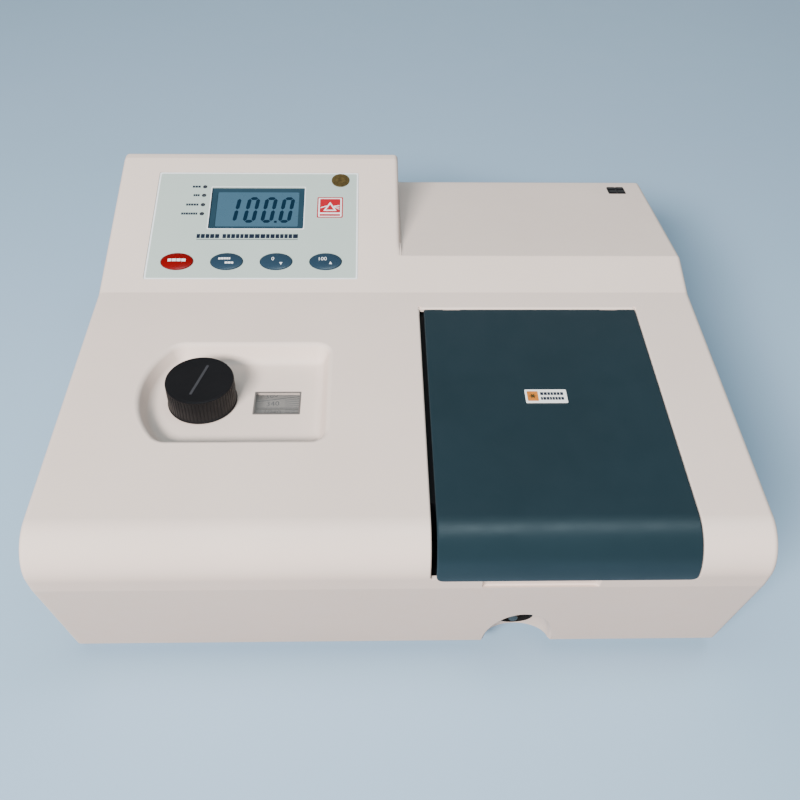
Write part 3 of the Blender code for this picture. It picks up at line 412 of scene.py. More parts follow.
look("shell_plastic", linear(221, 203, 193), 0.42, vary=0.02, patch=14, bump=0.12, specular=0.4)
look("lid_plastic", (0.0098, 0.0222, 0.0298), 0.4, vary=0.05, patch=12, bump=0.12, specular=0.33)
look("black_plastic", (0.006, 0.0058, 0.0068), 0.5, vary=0.12, bump=0.18, specular=0.22)
look(
    "steel", (0.58, 0.58, 0.59), 0.3, metallic=1.0, vary=0.05, patch=60, grain=900, bump=0.08,
    stretch=BRUSHED,
)
look("aluminium", (0.66, 0.67, 0.69), 0.42, metallic=1.0, vary=0.06, patch=40, grain=1100, bump=0.2)
look(
    "zinc_plate", (0.55, 0.57, 0.58), 0.4, metallic=1.0, vary=0.14, patch=55, grain=500, bump=0.08,
    rough_vary=0.12,
)
look("rubber", (0.018, 0.018, 0.018), 0.82, vary=0.15, grain=900, bump=0.35)
look("panel_film", (0.40, 0.475, 0.445), 0.42, vary=0.015, grain=2600, bump=0.06, specular=0.3)
look("lcd_glass", (0.042, 0.093, 0.138), 0.3, vary=0.04, patch=30, bump=0.02, specular=0.3)
look("circuit_board", (0.02, 0.13, 0.06), 0.35, vary=0.25, patch=160, bump=0.2)
look("red_key", (0.15, 0.0012, 0.0018), 0.3, vary=0.06, patch=60, bump=0.03, coat=0.15, specular=0.3)
look("blue_key", (0.016, 0.036, 0.060), 0.3, vary=0.07, patch=60, bump=0.03, coat=0.15, specular=0.3)
look("light_pipe", (0.022, 0.024, 0.034), 0.2, vary=0.1, bump=0.03, coat=0.4)
look("clear_window", (0.30, 0.29, 0.28), 0.06, vary=0.02, bump=0.01, alpha=0.16)
look("lamp_glass", (0.9, 0.92, 0.93), 0.04, vary=0.01, bump=0.01, transmission=1.0)
look("dial_face", (0.20, 0.19, 0.182), 0.5, vary=0.03, bump=0.05)
look("brass", (0.60, 0.42, 0.17), 0.3, metallic=1.0, vary=0.08, patch=70, grain=900, bump=0.1)
look("sticker", (0.095, 0.066, 0.022), 0.4, metallic=0.4, vary=0.35, patch=420, grain=2200, bump=0.2)
look(
    "mirror_glass", (0.82, 0.83, 0.85), 0.04, metallic=1.0, vary=0.01, patch=30, grain=800, bump=0.01,
    rough_vary=0.02,
)
look("seal_rubber", (0.012, 0.012, 0.012), 0.92, vary=0.2, grain=1300, bump=0.5)
look("ceramic", (0.72, 0.70, 0.64), 0.3, vary=0.03, bump=0.05, coat=0.3)
look("label_film", linear(232, 232, 230), 0.35, vary=0.02, bump=0.04)
INK_DARK = surface("ink_dark", (0.010, 0.016, 0.030), 0.5, vary=0.1, patch=300, bump=0.03, specular=0.12)
INK_WHITE = surface("ink_white", linear(225, 228, 232), 0.45, vary=0.03, patch=300, bump=0.03)
INK_RED = surface("ink_red", (0.36, 0.006, 0.016), 0.45, vary=0.05, patch=300, bump=0.03)
INK_ORANGE = surface("ink_orange", (0.50, 0.16, 0.02), 0.45, vary=0.1, patch=400, bump=0.03)
LCD_INK = surface("lcd_ink", (0.004, 0.016, 0.032), 0.35, vary=0.08, patch=200, bump=0.02, specular=0.12)
LCD_FRAME = surface("lcd_frame", (0.016, 0.040, 0.060), 0.35, vary=0.05, patch=90, bump=0.04, specular=0.12)
DARK_STEEL = surface(
    "dark_steel", (0.13, 0.135, 0.13), 0.45, metallic=1.0, vary=0.1, patch=80, grain=900, bump=0.1,
)
KNOB_MARK = surface("knob_mark", (0.035, 0.035, 0.04), 0.5, vary=0.1, patch=200, bump=0.1)
WINDOW_TRIM = surface("window_trim", (0.12, 0.11, 0.105), 0.5, vary=0.1, patch=200, bump=0.05)


# ---- the cover ----------------------------------------------------------------------------------
def on_console(length):
    """(y, z) of a point that far up the tilted face."""
    return CONSOLE_Y + length * math.cos(math.radians(TILT)), DECK_Z + length * math.sin(math.radians(TILT))


def console_z(y):
    return DECK_Z + (y - CONSOLE_Y) * math.tan(math.radians(TILT))


def rear_z(y):
    ridge_y, ridge_z = on_console(RIDGE_LENGTH)
    return ridge_z - (y - ridge_y) * math.tan(math.radians(REAR_SLOPE))


def cover_rows(corner=CORNER_R, ridge_r=4.0, crease_r=4.0):
    """Matching (y, z) points along the console's profile and the rear deck's, front foot to back foot."""
    nose = arc((NOSE_Y, NOSE_Z), NOSE_R, 190, 90, 28)
    shared = rounded_path([(*SKIRT_FOOT, 0), (*CREASE, 8.0), (*nose[0], 0)], 4)[:-1] + nose
    ridge_y, ridge_z = on_console(RIDGE_LENGTH)
    before = (ridge_y - 6, console_z(ridge_y - 6))
    shared += rounded_path([(*nose[-1], 0), (CONSOLE_Y, DECK_Z, crease_r), (*before, 0)])[1:]
    rows = [(point, point) for point in shared]

    after = (ridge_y + 6, rear_z(ridge_y + 6))
    for y, z in rounded_path([(*before, 0), (ridge_y, ridge_z, ridge_r), (*after, 0)])[1:]:
        rows.append(((y, console_z(y)), (y, z)))
    top_y, top_z = on_console(CONSOLE_LENGTH)
    spaced = [ridge_y + 6 + (top_y - 14 - ridge_y) * (i / 9) ** 1.4 for i in range(1, 10)]
    rows += [((y, console_z(y)), (y, rear_z(y))) for y in spaced]

    back_top = (top_y + CONSOLE_FLAT, top_z)
    slope = (CONSOLE_BACK_Z - top_z) / (BACK - back_top[0])
    crown = [(spaced[-1], console_z(spaced[-1]), 0), (top_y, top_z, corner), (*back_top, corner)]
    crown += [(back_top[0] + 16, top_z + 16 * slope, 0)]
    rows += [((y, z), (y, rear_z(y))) for y, z in rounded_path(crown)[1:]]
    low_y = BACK - 7
    rows.append(((low_y, CONSOLE_BACK_Z - 7 * slope), (low_y, rear_z(low_y))))
    high = rounded_path([(*back_top, 0), (BACK, CONSOLE_BACK_Z, corner), (BACK, 60, 0)])[1:-1]
    low = rounded_path([(low_y, rear_z(low_y), 0), (BACK, rear_z(BACK), corner), (BACK, 60, 0)])[1:-1]
    rows += list(zip(high, low))
    rows += [((BACK, z), (BACK, z)) for z in (112.0, FOOT)]
    return rows


def profile_ring(points, x, distance, foot=FOOT):
    """The closed section of the cover at x, moved in by a distance, with its foot kept flat."""
    normals = path_normals(points)
    moved_in = [Vector(point) - normal * distance for point, normal in zip(points, normals)]
    slope = (CREASE[0] - SKIRT_FOOT[0]) / (CREASE[1] - SKIRT_FOOT[1])
    shift = distance * math.sqrt(1 + slope * slope)
    moved_in[0] = Vector((SKIRT_FOOT[0] + shift + (foot - FOOT) * slope, foot))
    moved_in[-1] = Vector((BACK - distance, foot))
    return [(x, y, z) for y, z in moved_in]


def between(first, last, distance):
    """The point at a distance from the first towards the last."""
    run = Vector(last) - Vector(first)
    return tuple(Vector(first) + run.normalized() * distance) if run.length else tuple(first)


def wall_ring(pairs, x, radius, turn):
    """A section of the wall between console and deck, as it rounds from the first points to the second."""
    points = []
    for first, last in pairs:
        distance = min(radius, (Vector(first) - Vector(last)).length / 2) * (1 - math.cos(turn))
        points.append(between(first, last, distance))
    return [(x, y, z) for y, z in points]


def side_ring(points, side, turn):
    """A section of the cover near its left (-1) or right (+1) side, as it rounds towards the side."""
    return profile_ring(points, side * (HALF - END_R * (1 - math.cos(turn))), END_R * (1 - math.sin(turn)))


def outer_shell():
    """The cover as a solid block: rounded sides, the console, its right-hand wall and the rear deck."""
    rows = cover_rows()
    console, rear = [[row[i] for row in rows] for i in (0, 1)]
    steps = 6
    turns = [math.radians(90 * i / steps) for i in range(steps + 1)]
    top_r, foot_r, draft = 3.4, 2.4, 0.9
    upwards = [(low, high) for high, low in rows]
    rings = [side_ring(console, -1, t) for t in turns]
    rings += [wall_ring(rows, CONSOLE_RIGHT - top_r * (1 - math.sin(t)), top_r, t) for t in turns]
    for t in reversed(turns):
        rings.append(wall_ring(upwards, CONSOLE_RIGHT + draft + foot_r * (1 - math.sin(t)), foot_r, t))
    rings += [side_ring(rear, 1, t) for t in reversed(turns)]
    return plain("outer_shell", loft(rings))


def hollow():
    """The space inside the cover."""
    rows = cover_rows()
    console, rear = [[row[i] for row in rows] for i in (0, 1)]
    wall = CONSOLE_RIGHT - WALL
    stations = ((console, -HALF + WALL), (console, wall), (rear, wall + 0.05), (rear, HALF - WALL))
    return plain("hollow", loft([profile_ring(points, x, WALL, -20.0) for points, x in stations]))


def pocket_outline(grow=0.0):
    """The knob's pocket from above: square on the right, bowed on the left."""
    left, right = POCKET_X[0] - grow, POCKET_X[1] + grow
    front, back = POCKET_Y[0] - grow, POCKET_Y[1] + grow
    bow, corner, square = 64.0 + grow, max(1.5, 12.0 + grow), max(1.5, 9.0 + grow)
    middle, half = (front + back) / 2, (back - front) / 2
    across = math.sqrt((bow - corner) ** 2 - (half - corner) ** 2)
    turn = math.degrees(math.atan2(half - corner, across))
    inner = left + bow - across
    points = arc((right - square, back - square), square, 0, 90, 8)
    points += arc((inner, back - corner), corner, 90, 180 - turn, 8)
    points += arc((left + bow, middle), bow, 180 - turn, 180 + turn, 16)[1:-1]
    points += arc((inner, front + corner), corner, 180 + turn, 270, 8)
    return points + arc((right - square, front + square), square, 270, 360, 8)


def pocket_solid(name, thickness=0.0):
    """The pocket's space with its soft rim and floor corner, or that space with a wall round it."""
    if thickness:
        section = [(-POCKET_DRAFT + thickness, POCKET_FLOOR - thickness), (thickness + 1, DECK_Z + 1)]
    else:
        corners = [(-POCKET_DRAFT - 6, POCKET_FLOOR, 0), (-POCKET_DRAFT - 0.5, POCKET_FLOOR, 6.5)]
        corners += [(0.3, DECK_Z, 4.2), (4.0, DECK_Z + 0.06, 0)]
        section = rounded_path(corners, 7)
        section += [(4.2, DECK_Z + 3)]
    return plain(name, loft([[(x, y, z) for x, y in pocket_outline(grow)] for grow, z in section]))


def skirt_lean():
    return math.atan2(SKIRT_FOOT[0] - CREASE[0], CREASE[1] - SKIRT_FOOT[1])


def dish(name, radii, out=0.0):
    """The finger notch: a stretched ball that leans with the skirt, its poles at the front and back."""
    bm = bmesh.new()
    bmesh.ops.create_uvsphere(bm, u_segments=72, v_segments=41, radius=1.0)
    bmesh.ops.rotate(bm, verts=bm.verts, matrix=Matrix.Rotation(math.pi / 2, 3, "X"))
    bmesh.ops.transform(bm, matrix=Matrix.Diagonal((*[radius * MM for radius in radii], 1)), verts=bm.verts)
    lean = Matrix.Translation(Vector(SCOOP)) @ Matrix.Rotation(skirt_lean(), 4, "X")
    return plain(name, moved(bm, lean @ Matrix.Translation((0, -out, 0))))


def lip_section(edge, side, radius=1.3):
    """(across, out) points that round off an edge of the bay. side is +1 where the bay is on its right."""
    centre = edge - side * radius
    curve = arc((0, 0), radius + 0.04, 90, 0, 6)
    points = [(centre + side * a, b - radius) for a, b in curve]
    return [(edge + side * 1.5, -radius), (edge + side * 1.5, 1.5), (centre, 1.5), *points]


def bay_lips():
    """Cutters that soften the edges of the lid's opening, along the deck and down the nose."""
    path = [(BAY_BACK + 2, DECK_Z)] + arc((NOSE_Y, NOSE_Z), NOSE_R, 90, 187, 28)
    normals = [Vector((0, 1))] + [(Vector(p) - Vector((NOSE_Y, NOSE_Z))).normalized() for p in path[1:]]
    made = []
    for name, edge, side in (("left_lip", BAY_X[0], 1), ("right_lip", BAY_X[1], -1)):
        rings = []
        for point, normal in zip(path, normals):
            reach = [(x, Vector(point) + normal * out) for x, out in lip_section(edge, side)]
            rings.append([(x, spot.x, spot.y) for x, spot in reach])
        made.append(plain(name, loft(rings)))
    section = lip_section(BAY_BACK, -1)
    back = [[(x, y, DECK_Z + out) for y, out in section] for x in grown(BAY_X, 1)]
    return [*made, plain("back_lip", loft(back))]


def finger_recess():
    """The shallow grip under the front edge of the lid."""
    left, right = 45.0, 113.5
    section = rounded_path([(-200, 110.3, 0), (-192.9, 108.2, 0.8), (-194.6, 121, 0)], 6) + [(-200, 121)]
    rings = []
    for x in [left + 4 * (1 - math.cos(math.radians(a))) for a in range(0, 91, 15)]:
        share = math.sqrt(max(0.0, 1 - ((left + 4 - x) / 4) ** 2))
        rings.append((x, share))
    rings += [(left + right - x, share) for x, share in reversed(rings)]
    made = []
    for x, share in rings:
        depth, rise = 0.35 + 0.65 * share, 1.5 * (1 - share)
        made.append([(x, -200 + (y + 200) * depth, z + rise) for y, z in section])
    return plain("finger_recess", loft(made))


def in_console(shape):
    return moved(shape, CONSOLE)


def plug_place():
    slope = math.radians(REAR_SLOPE)
    return Matrix.Translation(Vector((PLUG_X, PLUG_Y, rear_z(PLUG_Y)))) @ Matrix.Rotation(-slope, 4, "X")


def make_cover():
    """The moulded cover: a hollow shell with its pocket, finger notch, lid opening and smaller openings."""
    cover = outer_shell()
    cavity = hollow()
    backing = dish("scoop_backing", [radius + WALL for radius in SCOOP_RADII])
    carve(cavity, pocket_solid("pocket_backing", WALL), backing)
    carve(cover, cavity)
    carve(cover, pocket_solid("pocket"))
    carve(cover, dish("scoop", SCOOP_RADII), dish("scoop_lip", (23.8, 10.4, 52.8), 3.0))
    carve(cover, plain("scoop_hole", prism(ellipse(HOLE_AT, HOLE_HALF, 64), SCOOP[1], -145, "y")))
    carve(cover, plain("bay", cuboid(BAY_X, (-230, BAY_BACK), (BAY_FRONT_Z, 190))))
    carve(cover, *bay_lips(), finger_recess())
    window = rounded(grown(WINDOW_X, 0.4), grown(WINDOW_Y, 0.4), 0.6)
    recess = rounded(grown(PANEL_X, 0.15), grown(PANEL_S, 0.15), 1.4)
    opening = rounded(grown(PANEL_X, -5), grown(PANEL_S, -5), 3)
    wide, deep = PLUG_HALF
    plug = rounded(grown((-wide, wide), 0.3), grown((-deep, deep), 0.3), 0.8)
    openings = (
        prism(window, 125, 140),
        cylinder((*KNOB, 120), 6, 40),
        in_console(prism(recess, -1.8, 6)),
        in_console(prism(opening, -9, 6)),
        prism(rounded((30, 102), (-178, 178), 4), 185, 210, "y"),  # behind it stands the rear panel
        moved(prism(plug, -9, 6), plug_place()),
    )
    for shape in openings:
        carve(cover, plain("opening", shape))
    stand_in("top_cover_shell", cover, "top_cover", "shell_plastic", angle=32)


def make_plug():
    """The blanking plug near the back corner: four raised blocks that leave a cross between them."""
    wide, deep = PLUG_HALF
    parts = [prism(rounded((-wide, wide), (-deep, deep), 0.8), -4.5, 0.1)]
    for x in (-wide / 2, wide / 2):
        for y in (-deep / 2, deep / 2):
            parts.append(cuboid((x - 2.9, x + 2.9), (y - 2.4, y + 2.4), (-0.5, 0.8), 0.4))
    plug = moved(merged(*parts), plug_place())
    stand_in("rear_blanking_plug", plug, "rear_plug", "black_plastic")


# ---- the lid ------------------------------------------------------------------------------------
def lid_ring(x, distance, tip):
    """The lid's closed section at x: hinge barrel, sheet along the deck and curl down the nose."""
    outer, inner = NOSE_R + LID_RISE, NOSE_R + LID_RISE - LID_WALL
    edge_r = LID_WALL / 2
    turn = math.radians(tip)
    middle = (NOSE_Y + (outer - edge_r) * math.cos(turn), NOSE_Z + (outer - edge_r) * math.sin(turn))
    points = arc((HINGE_Y, HINGE_Z), HINGE_R, 180, 450, 20)
    points += arc((NOSE_Y, NOSE_Z), outer, 90, tip, 26)
    points += arc(middle, edge_r, tip, tip + 180, 8)[1:-1]
    points += arc((NOSE_Y, NOSE_Z), inner, tip, 90, 26)
    return [(x, y, z) for y, z in inset(points, distance)]


def make_lid():
    """The sample lid, and the two hinge brackets that its pins sit in."""
    corner, edge, tip = 4.5, 1.1, 188.0
    reach = [edge * (1 - math.cos(math.radians(a))) for a in range(0, 91, 15)] + [1.6, 2.2, 3.0, 3.8, corner]
    rings = []
    for t in reach:
        distance = edge - math.sqrt(max(0.0, edge**2 - max(0.0, edge - t) ** 2))
        rise = corner - math.sqrt(max(0.0, corner**2 - (corner - t) ** 2))
        rings.append((t, distance, tip - math.degrees(rise / (NOSE_R + LID_RISE))))
    left = [lid_ring(LID_X[0] + t, distance, end) for t, distance, end in rings]
    right = [lid_ring(LID_X[1] - t, distance, end) for t, distance, end in reversed(rings)]
    lid = plain("lid", loft(left + right))
    for spot in HINGE_SPOTS:
        half = KNUCKLE / 2 + 0.3
        room = (spot - half, spot + half)
        carve(
            lid,
            plain("knuckle_room", cylinder((room[0], HINGE_Y, HINGE_Z), 2.45, 2 * half, "x")),
            plain("neck_room", cuboid(room, (HINGE_Y + 0.6, HINGE_Y + 5), (130, 155))),
            plain("under_room", cuboid(room, (HINGE_Y - 4, HINGE_Y + 5), (130, HINGE_Z))),
            plain("pin_hole", cylinder((spot - 18, HINGE_Y, HINGE_Z), 1.55, 36, "x", 24)),
        )
    stand_in("sample_lid_shell", lid, "sample_lid", "lid_plastic", "lid", angle=32)
    for side, spot in zip(("left", "right"), HINGE_SPOTS):
        half = KNUCKLE / 2
        knuckle = plain("knuckle", cylinder((spot - half, HINGE_Y, HINGE_Z), 2.2, KNUCKLE, "x"))
        strap = [(HINGE_Y + 0.2, HINGE_Z - 2.1), (HINGE_Y + 1.9, HINGE_Z - 1.2), (11.5, 142.6), (19, 142.6)]
        strap += [(19, 139.0), (HINGE_Y - 1.2, 139.0), (HINGE_Y - 1.2, 141.9)]
        carve(knuckle, plain("strap", prism(strap, spot - half, spot + half, "x")), operation="UNION")
        carve(knuckle, plain("bore", cylinder((spot - 9, HINGE_Y, HINGE_Z), 1.5, 18, "x", 24)))
        stand_in(f"hinge_bracket_{side}", knuckle, f"lid_hinge_bracket_{side}", "black_plastic")


def make_lid_label():
    """A white label with an orange square and two rows of plain blocks where its words were."""
    x, y, z = extent("lid_label")
    top = z[1]
    ink = (top - 0.1, top + 0.03)
    film = prism(rounded(x, y, 0.8), *z)
    stand_in("lid_label_film", film, "lid_label", "label_film", "lid", bevel=0.08)
    square = prism(rounded((x[0] + 1.2, x[0] + 8.2), (y[0] + 1.6, y[1] - 1.6), 0.6), *ink)
    piece("lid_label_square", square, INK_ORANGE, "lid")
    mark = prism(star((x[0] + 4.7, middle_of(y)), 2.6, 1.1, 6), top, top + 0.06)
    piece("lid_label_mark", mark, LOOKS["brass"], "lid")
    words = []
    for i, share in enumerate((0.68, 0.32)):
        words += word_blocks((x[0] + 9.6, x[1] - 2.2), y[0] + share * (y[1] - y[0]), 2.6, 7 + i, i)
    piece("lid_label_print", merged(*[prism(block, *ink) for block in words]), INK_DARK, "lid")


def star(centre, outer, inner, arms):
    radii = [outer, inner] * arms
    turns = [math.pi * i / arms for i in range(2 * arms)]
    return [(centre[0] + r * math.cos(t), centre[1] + r * math.sin(t)) for r, t in zip(radii, turns)]


def word_blocks(x, middle, height, letters, seed):
    """Rectangles in a row, of uneven width, that stand in for a line of lettering."""
    draw = random.Random(seed)
    shares = [0.8 + 0.5 * draw.random() for _ in range(letters)]
    gap = 0.17 * (x[1] - x[0]) / letters
    unit = (x[1] - x[0] - gap * (letters - 1)) / sum(shares)
    low, high = middle - height / 2, middle + height / 2
    blocks = []
    at = x[0]
    for share in shares:
        wide = share * unit
        blocks.append([(at, low), (at + wide, low), (at + wide, high), (at, high)])
        at += wide + gap
    return blocks


# ---- wavelength knob and dial -------------------------------------------------------------------
def about_knob(height, turn):
    """A place on the knob's axis, turned about it."""
    return Matrix.Translation(Vector((*KNOB, height))) @ Matrix.Rotation(turn, 4, "Z")


def make_knob():
    """The knob: a plain skirt, fine ribs round the grip and a shallow dished top with a line across it."""
    ribs, samples, rib_depth = 60, 8, 0.42
    sides = ribs * samples
    skirt = ((0.4, 0.0), (0.0, 0.4), (0.0, 0.9), (0.5, 1.3))
    foot = ((-0.1, 1.8, 0), (0.0, 2.4, 0.6), (0.0, 3.0, 1))
    crown = ((0.0, 1.6, 1), (0.0, 1.1, 0.5), (0.0, 0.8, 0), (0.12, 0.45, 0), (0.4, 0.15, 0))
    crown += ((0.8, 0.0, 0), (1.6, 0.04, 0), (2.0, 0.2, 0))
    section = [(KNOB_SKIRT_R - less, KNOB_LOW + up, 0) for less, up in skirt]
    section += [(KNOB_R - less, KNOB_LOW + up, ribbed) for less, up, ribbed in foot]
    section += [(KNOB_R - less, KNOB_TOP - down, ribbed) for less, down, ribbed in crown]
    section.append((0.5, KNOB_TOP - 0.2, 0))
    rings = []
    for radius, height, ribbed in section:
        ring = []
        for i in range(sides):
            turn = math.tau * i / sides
            groove = ribbed * rib_depth * max(0.0, math.cos(math.tau * i / samples)) ** 2
            reach = radius - groove
            ring.append((KNOB[0] + reach * math.cos(turn), KNOB[1] + reach * math.sin(turn), height))
        rings.append(ring)
    stand_in("wavelength_knob_grip", loft(rings), "wavelength_knob", "black_plastic", "wavelength_drive", 40)
    line = prism(rounded((-14.0, 14.0), (-0.8, 0.8), 0.7), KNOB_TOP - 0.5, KNOB_TOP - 0.02)
    piece("knob_pointer_line", moved(line, about_knob(0, math.radians(74))), KNOB_MARK, "wavelength_drive")


def make_dial():
    """The scale on the disc, seen through the window, and the frame round the window."""
    marks, numbers = [], []
    for i in range(180):
        inner, half = (34.0, 0.22) if i % 5 == 0 else (52.0, 0.14)
        mark = [(inner, -half), (62.5, -half), (62.5, half), (inner, half)]
        marks.append(moved(prism(mark, DIAL_TOP - 0.1, DIAL_TOP + 0.06), about_knob(0, math.tau * i / 180)))
    piece("dial_graduations", merged(*marks), INK_DARK, "wavelength_drive")
    for i in range(36):
        spot = about_knob(DIAL_TOP - 0.05, math.tau * i / 36 + math.radians(5))
        number = lettering(str(340 + 20 * i), 4.2)
        numbers.append(moved(number, spot @ Matrix.Translation((44.0, 0, 0))))
    piece("dial_numbers", merged(*numbers), INK_DARK, "wavelength_drive")

    outer = rounded(grown(WINDOW_X, 0.3), grown(WINDOW_Y, 0.3), 0.7)
    inner = rounded(grown(WINDOW_X, -0.7), grown(WINDOW_Y, -0.7), 0.5)
    low, high = POCKET_FLOOR - 0.15, POCKET_FLOOR + 0.1
    rings = ((outer, low), (outer, high), (inner, high), (inner, low))
    piece("window_rim", hoop([[(x, y, z) for x, y in ring] for ring, z in rings]), WINDOW_TRIM)
    middle = middle_of(WINDOW_Y)
    under = (WINDOW_Z[0] - 0.25, WINDOW_Z[0] - 0.05)
    hair = cuboid(grown(WINDOW_X, -1), (middle - 3.6, middle - 3.2), under)
    piece("index_line", hair, LOOKS["black_plastic"])


def lettering(text, size):
    """A number as a thin solid, centred on the origin, its height in millimetres."""
    curve = bpy.data.curves.new("number", "FONT")
    curve.body = text
    curve.size = size * 1.4
    curve.align_x = "CENTER"
    curve.align_y = "CENTER"
    curve.extrude = 0.05
    curve.resolution_u = 3
    bm = solid_of(curve, 0.001)
    bm.transform(Matrix.Scale(MM, 4))
    return bm


# ---- console ------------------------------------------------------------------------------------
def plate_with_holes(points, holes, low, high):
    """A flat plate with holes through it, from a filled curve."""
    curve = bpy.data.curves.new("plate", "CURVE")
    curve.dimensions = "2D"
    curve.fill_mode = "BOTH"
    curve.extrude = (high - low) / 2 * MM
    for ring in (points, *holes):
        spline = curve.splines.new("POLY")
        spline.points.add(len(ring) - 1)
        for point, (a, b) in zip(spline.points, ring):
            point.co = (a * MM, b * MM, 0, 1)
        spline.use_cyclic_u = True
    return moved(solid_of(curve, 0.005 * MM), Matrix.Translation((0, 0, (low + high) / 2)))


def printed(name, outlines, look, height=0.05):
    """Ink on the console: flat outlines a hair above the film."""
    shapes = [prism(points, INK_LOW, FILM_TOP + height) for points in outlines]
    piece(name, in_console(merged(*shapes)), look)


def printed_border(name, x, s, radius, insets, look, height=0.03):
    """A printed line round a rectangle, between two distances inside it."""
    outer, inner = [rounded(grown(x, -d), grown(s, -d), radius) for d in insets]
    piece(name, in_console(plate_with_holes(outer, [inner], INK_LOW, FILM_TOP + height)), look)


def make_film():
    """The printed film over the console, with openings for the keys, the lights and the display."""
    room = [half + 0.35 for half in KEY_HALF]
    holes = [ellipse((x, KEY_S), room) for x in KEY_X.values()]
    holes += [ellipse((LED_X, s), (1.75, 1.75), 20) for s in LED_S]
    holes.append(rounded(LCD_X, LCD_S, 1.0))
    film = in_console(plate_with_holes(rounded(PANEL_X, PANEL_S, 1.2), holes, FILM_LOW, FILM_TOP))
    stand_in("keypad_film", film, "keypad_panel", "panel_film", bevel=0.1)
    printed_border("film_border", PANEL_X, PANEL_S, 1.2, (0.15, 1.35), INK_WHITE)
    printed_border("display_border", LCD_X, LCD_S, 1.0, (-0.7, 0.0), INK_WHITE)

    title, rule = (-146.0, -71.5), (49.5, 50.0)
    words = word_blocks((title[0], -129.4), 53.0, 4.0, 5, 3)
    words += word_blocks((-127.0, title[1]), 53.0, 4.0, 16, 4)
    printed("title_print", words, INK_DARK)
    printed("title_rule", [rounded(title, rule, 0.2, 1)], INK_DARK)
    labels = []
    right = LED_X - 3.4
    for s, wide, count in zip(LED_S, (6.0, 4.6, 9.2, 12.0), (3, 3, 5, 7)):
        labels += word_blocks((right - wide, right), s, 2.1, count, count)
    printed("status_print", labels, INK_DARK)


def make_mark():
    """A generic mark in place of a maker's: a prism that splits a ray, on a red square."""
    x, s = (-58.2, -38.8), (71.4, 92.2)
    printed("mark_ground", [rounded(x, s, 0.8)], INK_WHITE, 0.02)
    printed_border("mark_border", x, s, 0.8, (0.0, 0.9), INK_RED, 0.05)
    middle, base = middle_of(x), 77.6
    field, strip = (base - 1, 90.4), (73.2, 75.0)
    printed("mark_field", [rounded(grown(x, -2), field, 0.6), rounded(grown(x, -2), strip, 0.3)], INK_RED)

    top = FILM_TOP + 0.08
    triangle = [(middle - 5.0, base + 0.6), (middle + 5.0, base + 0.6), (middle, base + 9.6)]
    glass = plate_with_holes(triangle, [inset(triangle, 1.1)[::-1]], INK_LOW, top)
    start, end = x[0] + 2.6, x[1] - 2.6
    in_low, in_high = (middle - 2.4, base + 5.2), (middle - 2.6, base + 6.0)
    out_low, out_high = (middle + 2.2, base + 4.9), (middle + 2.0, base + 5.4)
    rays = [[(start, base + 3.4), in_low, in_high, (start, base + 4.2)]]
    for tip in (2.2, 4.2, 6.2):
        rays.append([out_low, (end, base + tip - 0.3), (end, base + tip + 0.4), out_high])
    light = [prism(ray, INK_LOW, top) for ray in rays]
    piece("mark_prism", in_console(merged(glass, *light)), INK_WHITE)


SEGMENTS = {"0": "abcdef", "1": "bc"}


def segment(letter, wide, tall, stroke):
    """One bar of a seven-segment digit, as a pointed outline about the digit's middle."""
    half, gap = stroke / 2, 0.28
    if letter in "ad":
        y = (tall / 2 - half) * (1 if letter == "a" else -1)
        left, right = -wide / 2 + half + gap, wide / 2 - half - gap
        below = [(left, y), (left + half, y - half), (right - half, y - half)]
        return below + [(right, y), (right - half, y + half), (left + half, y + half)]
    x = (wide / 2 - half) * (1 if letter in "bc" else -1)
    low, high = (gap, tall / 2 - half - gap) if letter in "bf" else (-tall / 2 + half + gap, -gap)
    right_side = [(x, low), (x + half, low + half), (x + half, high - half)]
    return right_side + [(x, high), (x - half, high - half), (x - half, low + half)]


def make_display():
    """The display behind the film: a bezel, a glass and the reading."""
    low, glass_n, bezel_n = -8.5, -2.0, -1.65
    body = prism(rounded((LCD_X[0] - 2.2, LCD_X[1] + 3), grown(LCD_S, 3), 0.8), low, glass_n)
    stand_in("lcd_glass", in_console(body), "lcd_module", "lcd_glass")
    inner = rounded((LCD_X[0] + 4.4, LCD_X[1] - 4.0), (LCD_S[0] + 3.2, LCD_S[1] - 3.4), 1.0)
    deep = rounded((LCD_X[0] + 5.0, LCD_X[1] - 4.6), (LCD_S[0] + 3.8, LCD_S[1] - 4.0), 1.0)
    outer = rounded((LCD_X[0] - 2.0, LCD_X[1] + 2.8), grown(LCD_S, 2.8), 1.0)
    rings = [(outer, glass_n - 0.2), (outer, bezel_n), (inner, bezel_n), (deep, glass_n - 0.2)]
    bezel = hoop([[(a, b, n) for a, b in ring] for ring, n in rings])
    piece("lcd_bezel", in_console(bezel), LCD_FRAME)

    tall, wide, stroke, middle = 26.0, 9.4, 2.9, 80.6
    slant = math.tan(math.radians(7))
    shapes = []
    for text, at in (("1", -121.8), ("0", -107.6), ("0", -94.4), ("0", -81.2)):
        for letter in SEGMENTS[text]:
            shapes.append([(at + a + b * slant, middle + b) for a, b in segment(letter, wide, tall, stroke)])
    dot = (-88.4 - tall / 2 * slant, middle - tall / 2)
    shapes.append(rounded((dot[0] - 0.2, dot[0] + 1.9), (dot[1], dot[1] + 2.1), 0.4, 2))
    parts = [prism(points, glass_n - 0.05, glass_n + 0.04) for points in shapes]
    piece("lcd_reading", in_console(merged(*parts)), LCD_INK)


def dome_height(a, b):
    """The key's top above the console plane, at a point from its middle."""
    share = math.hypot(a / KEY_HALF[0], b / KEY_HALF[1])
    return 1.1 - 1.15 * min(1.0, share) ** 2.6


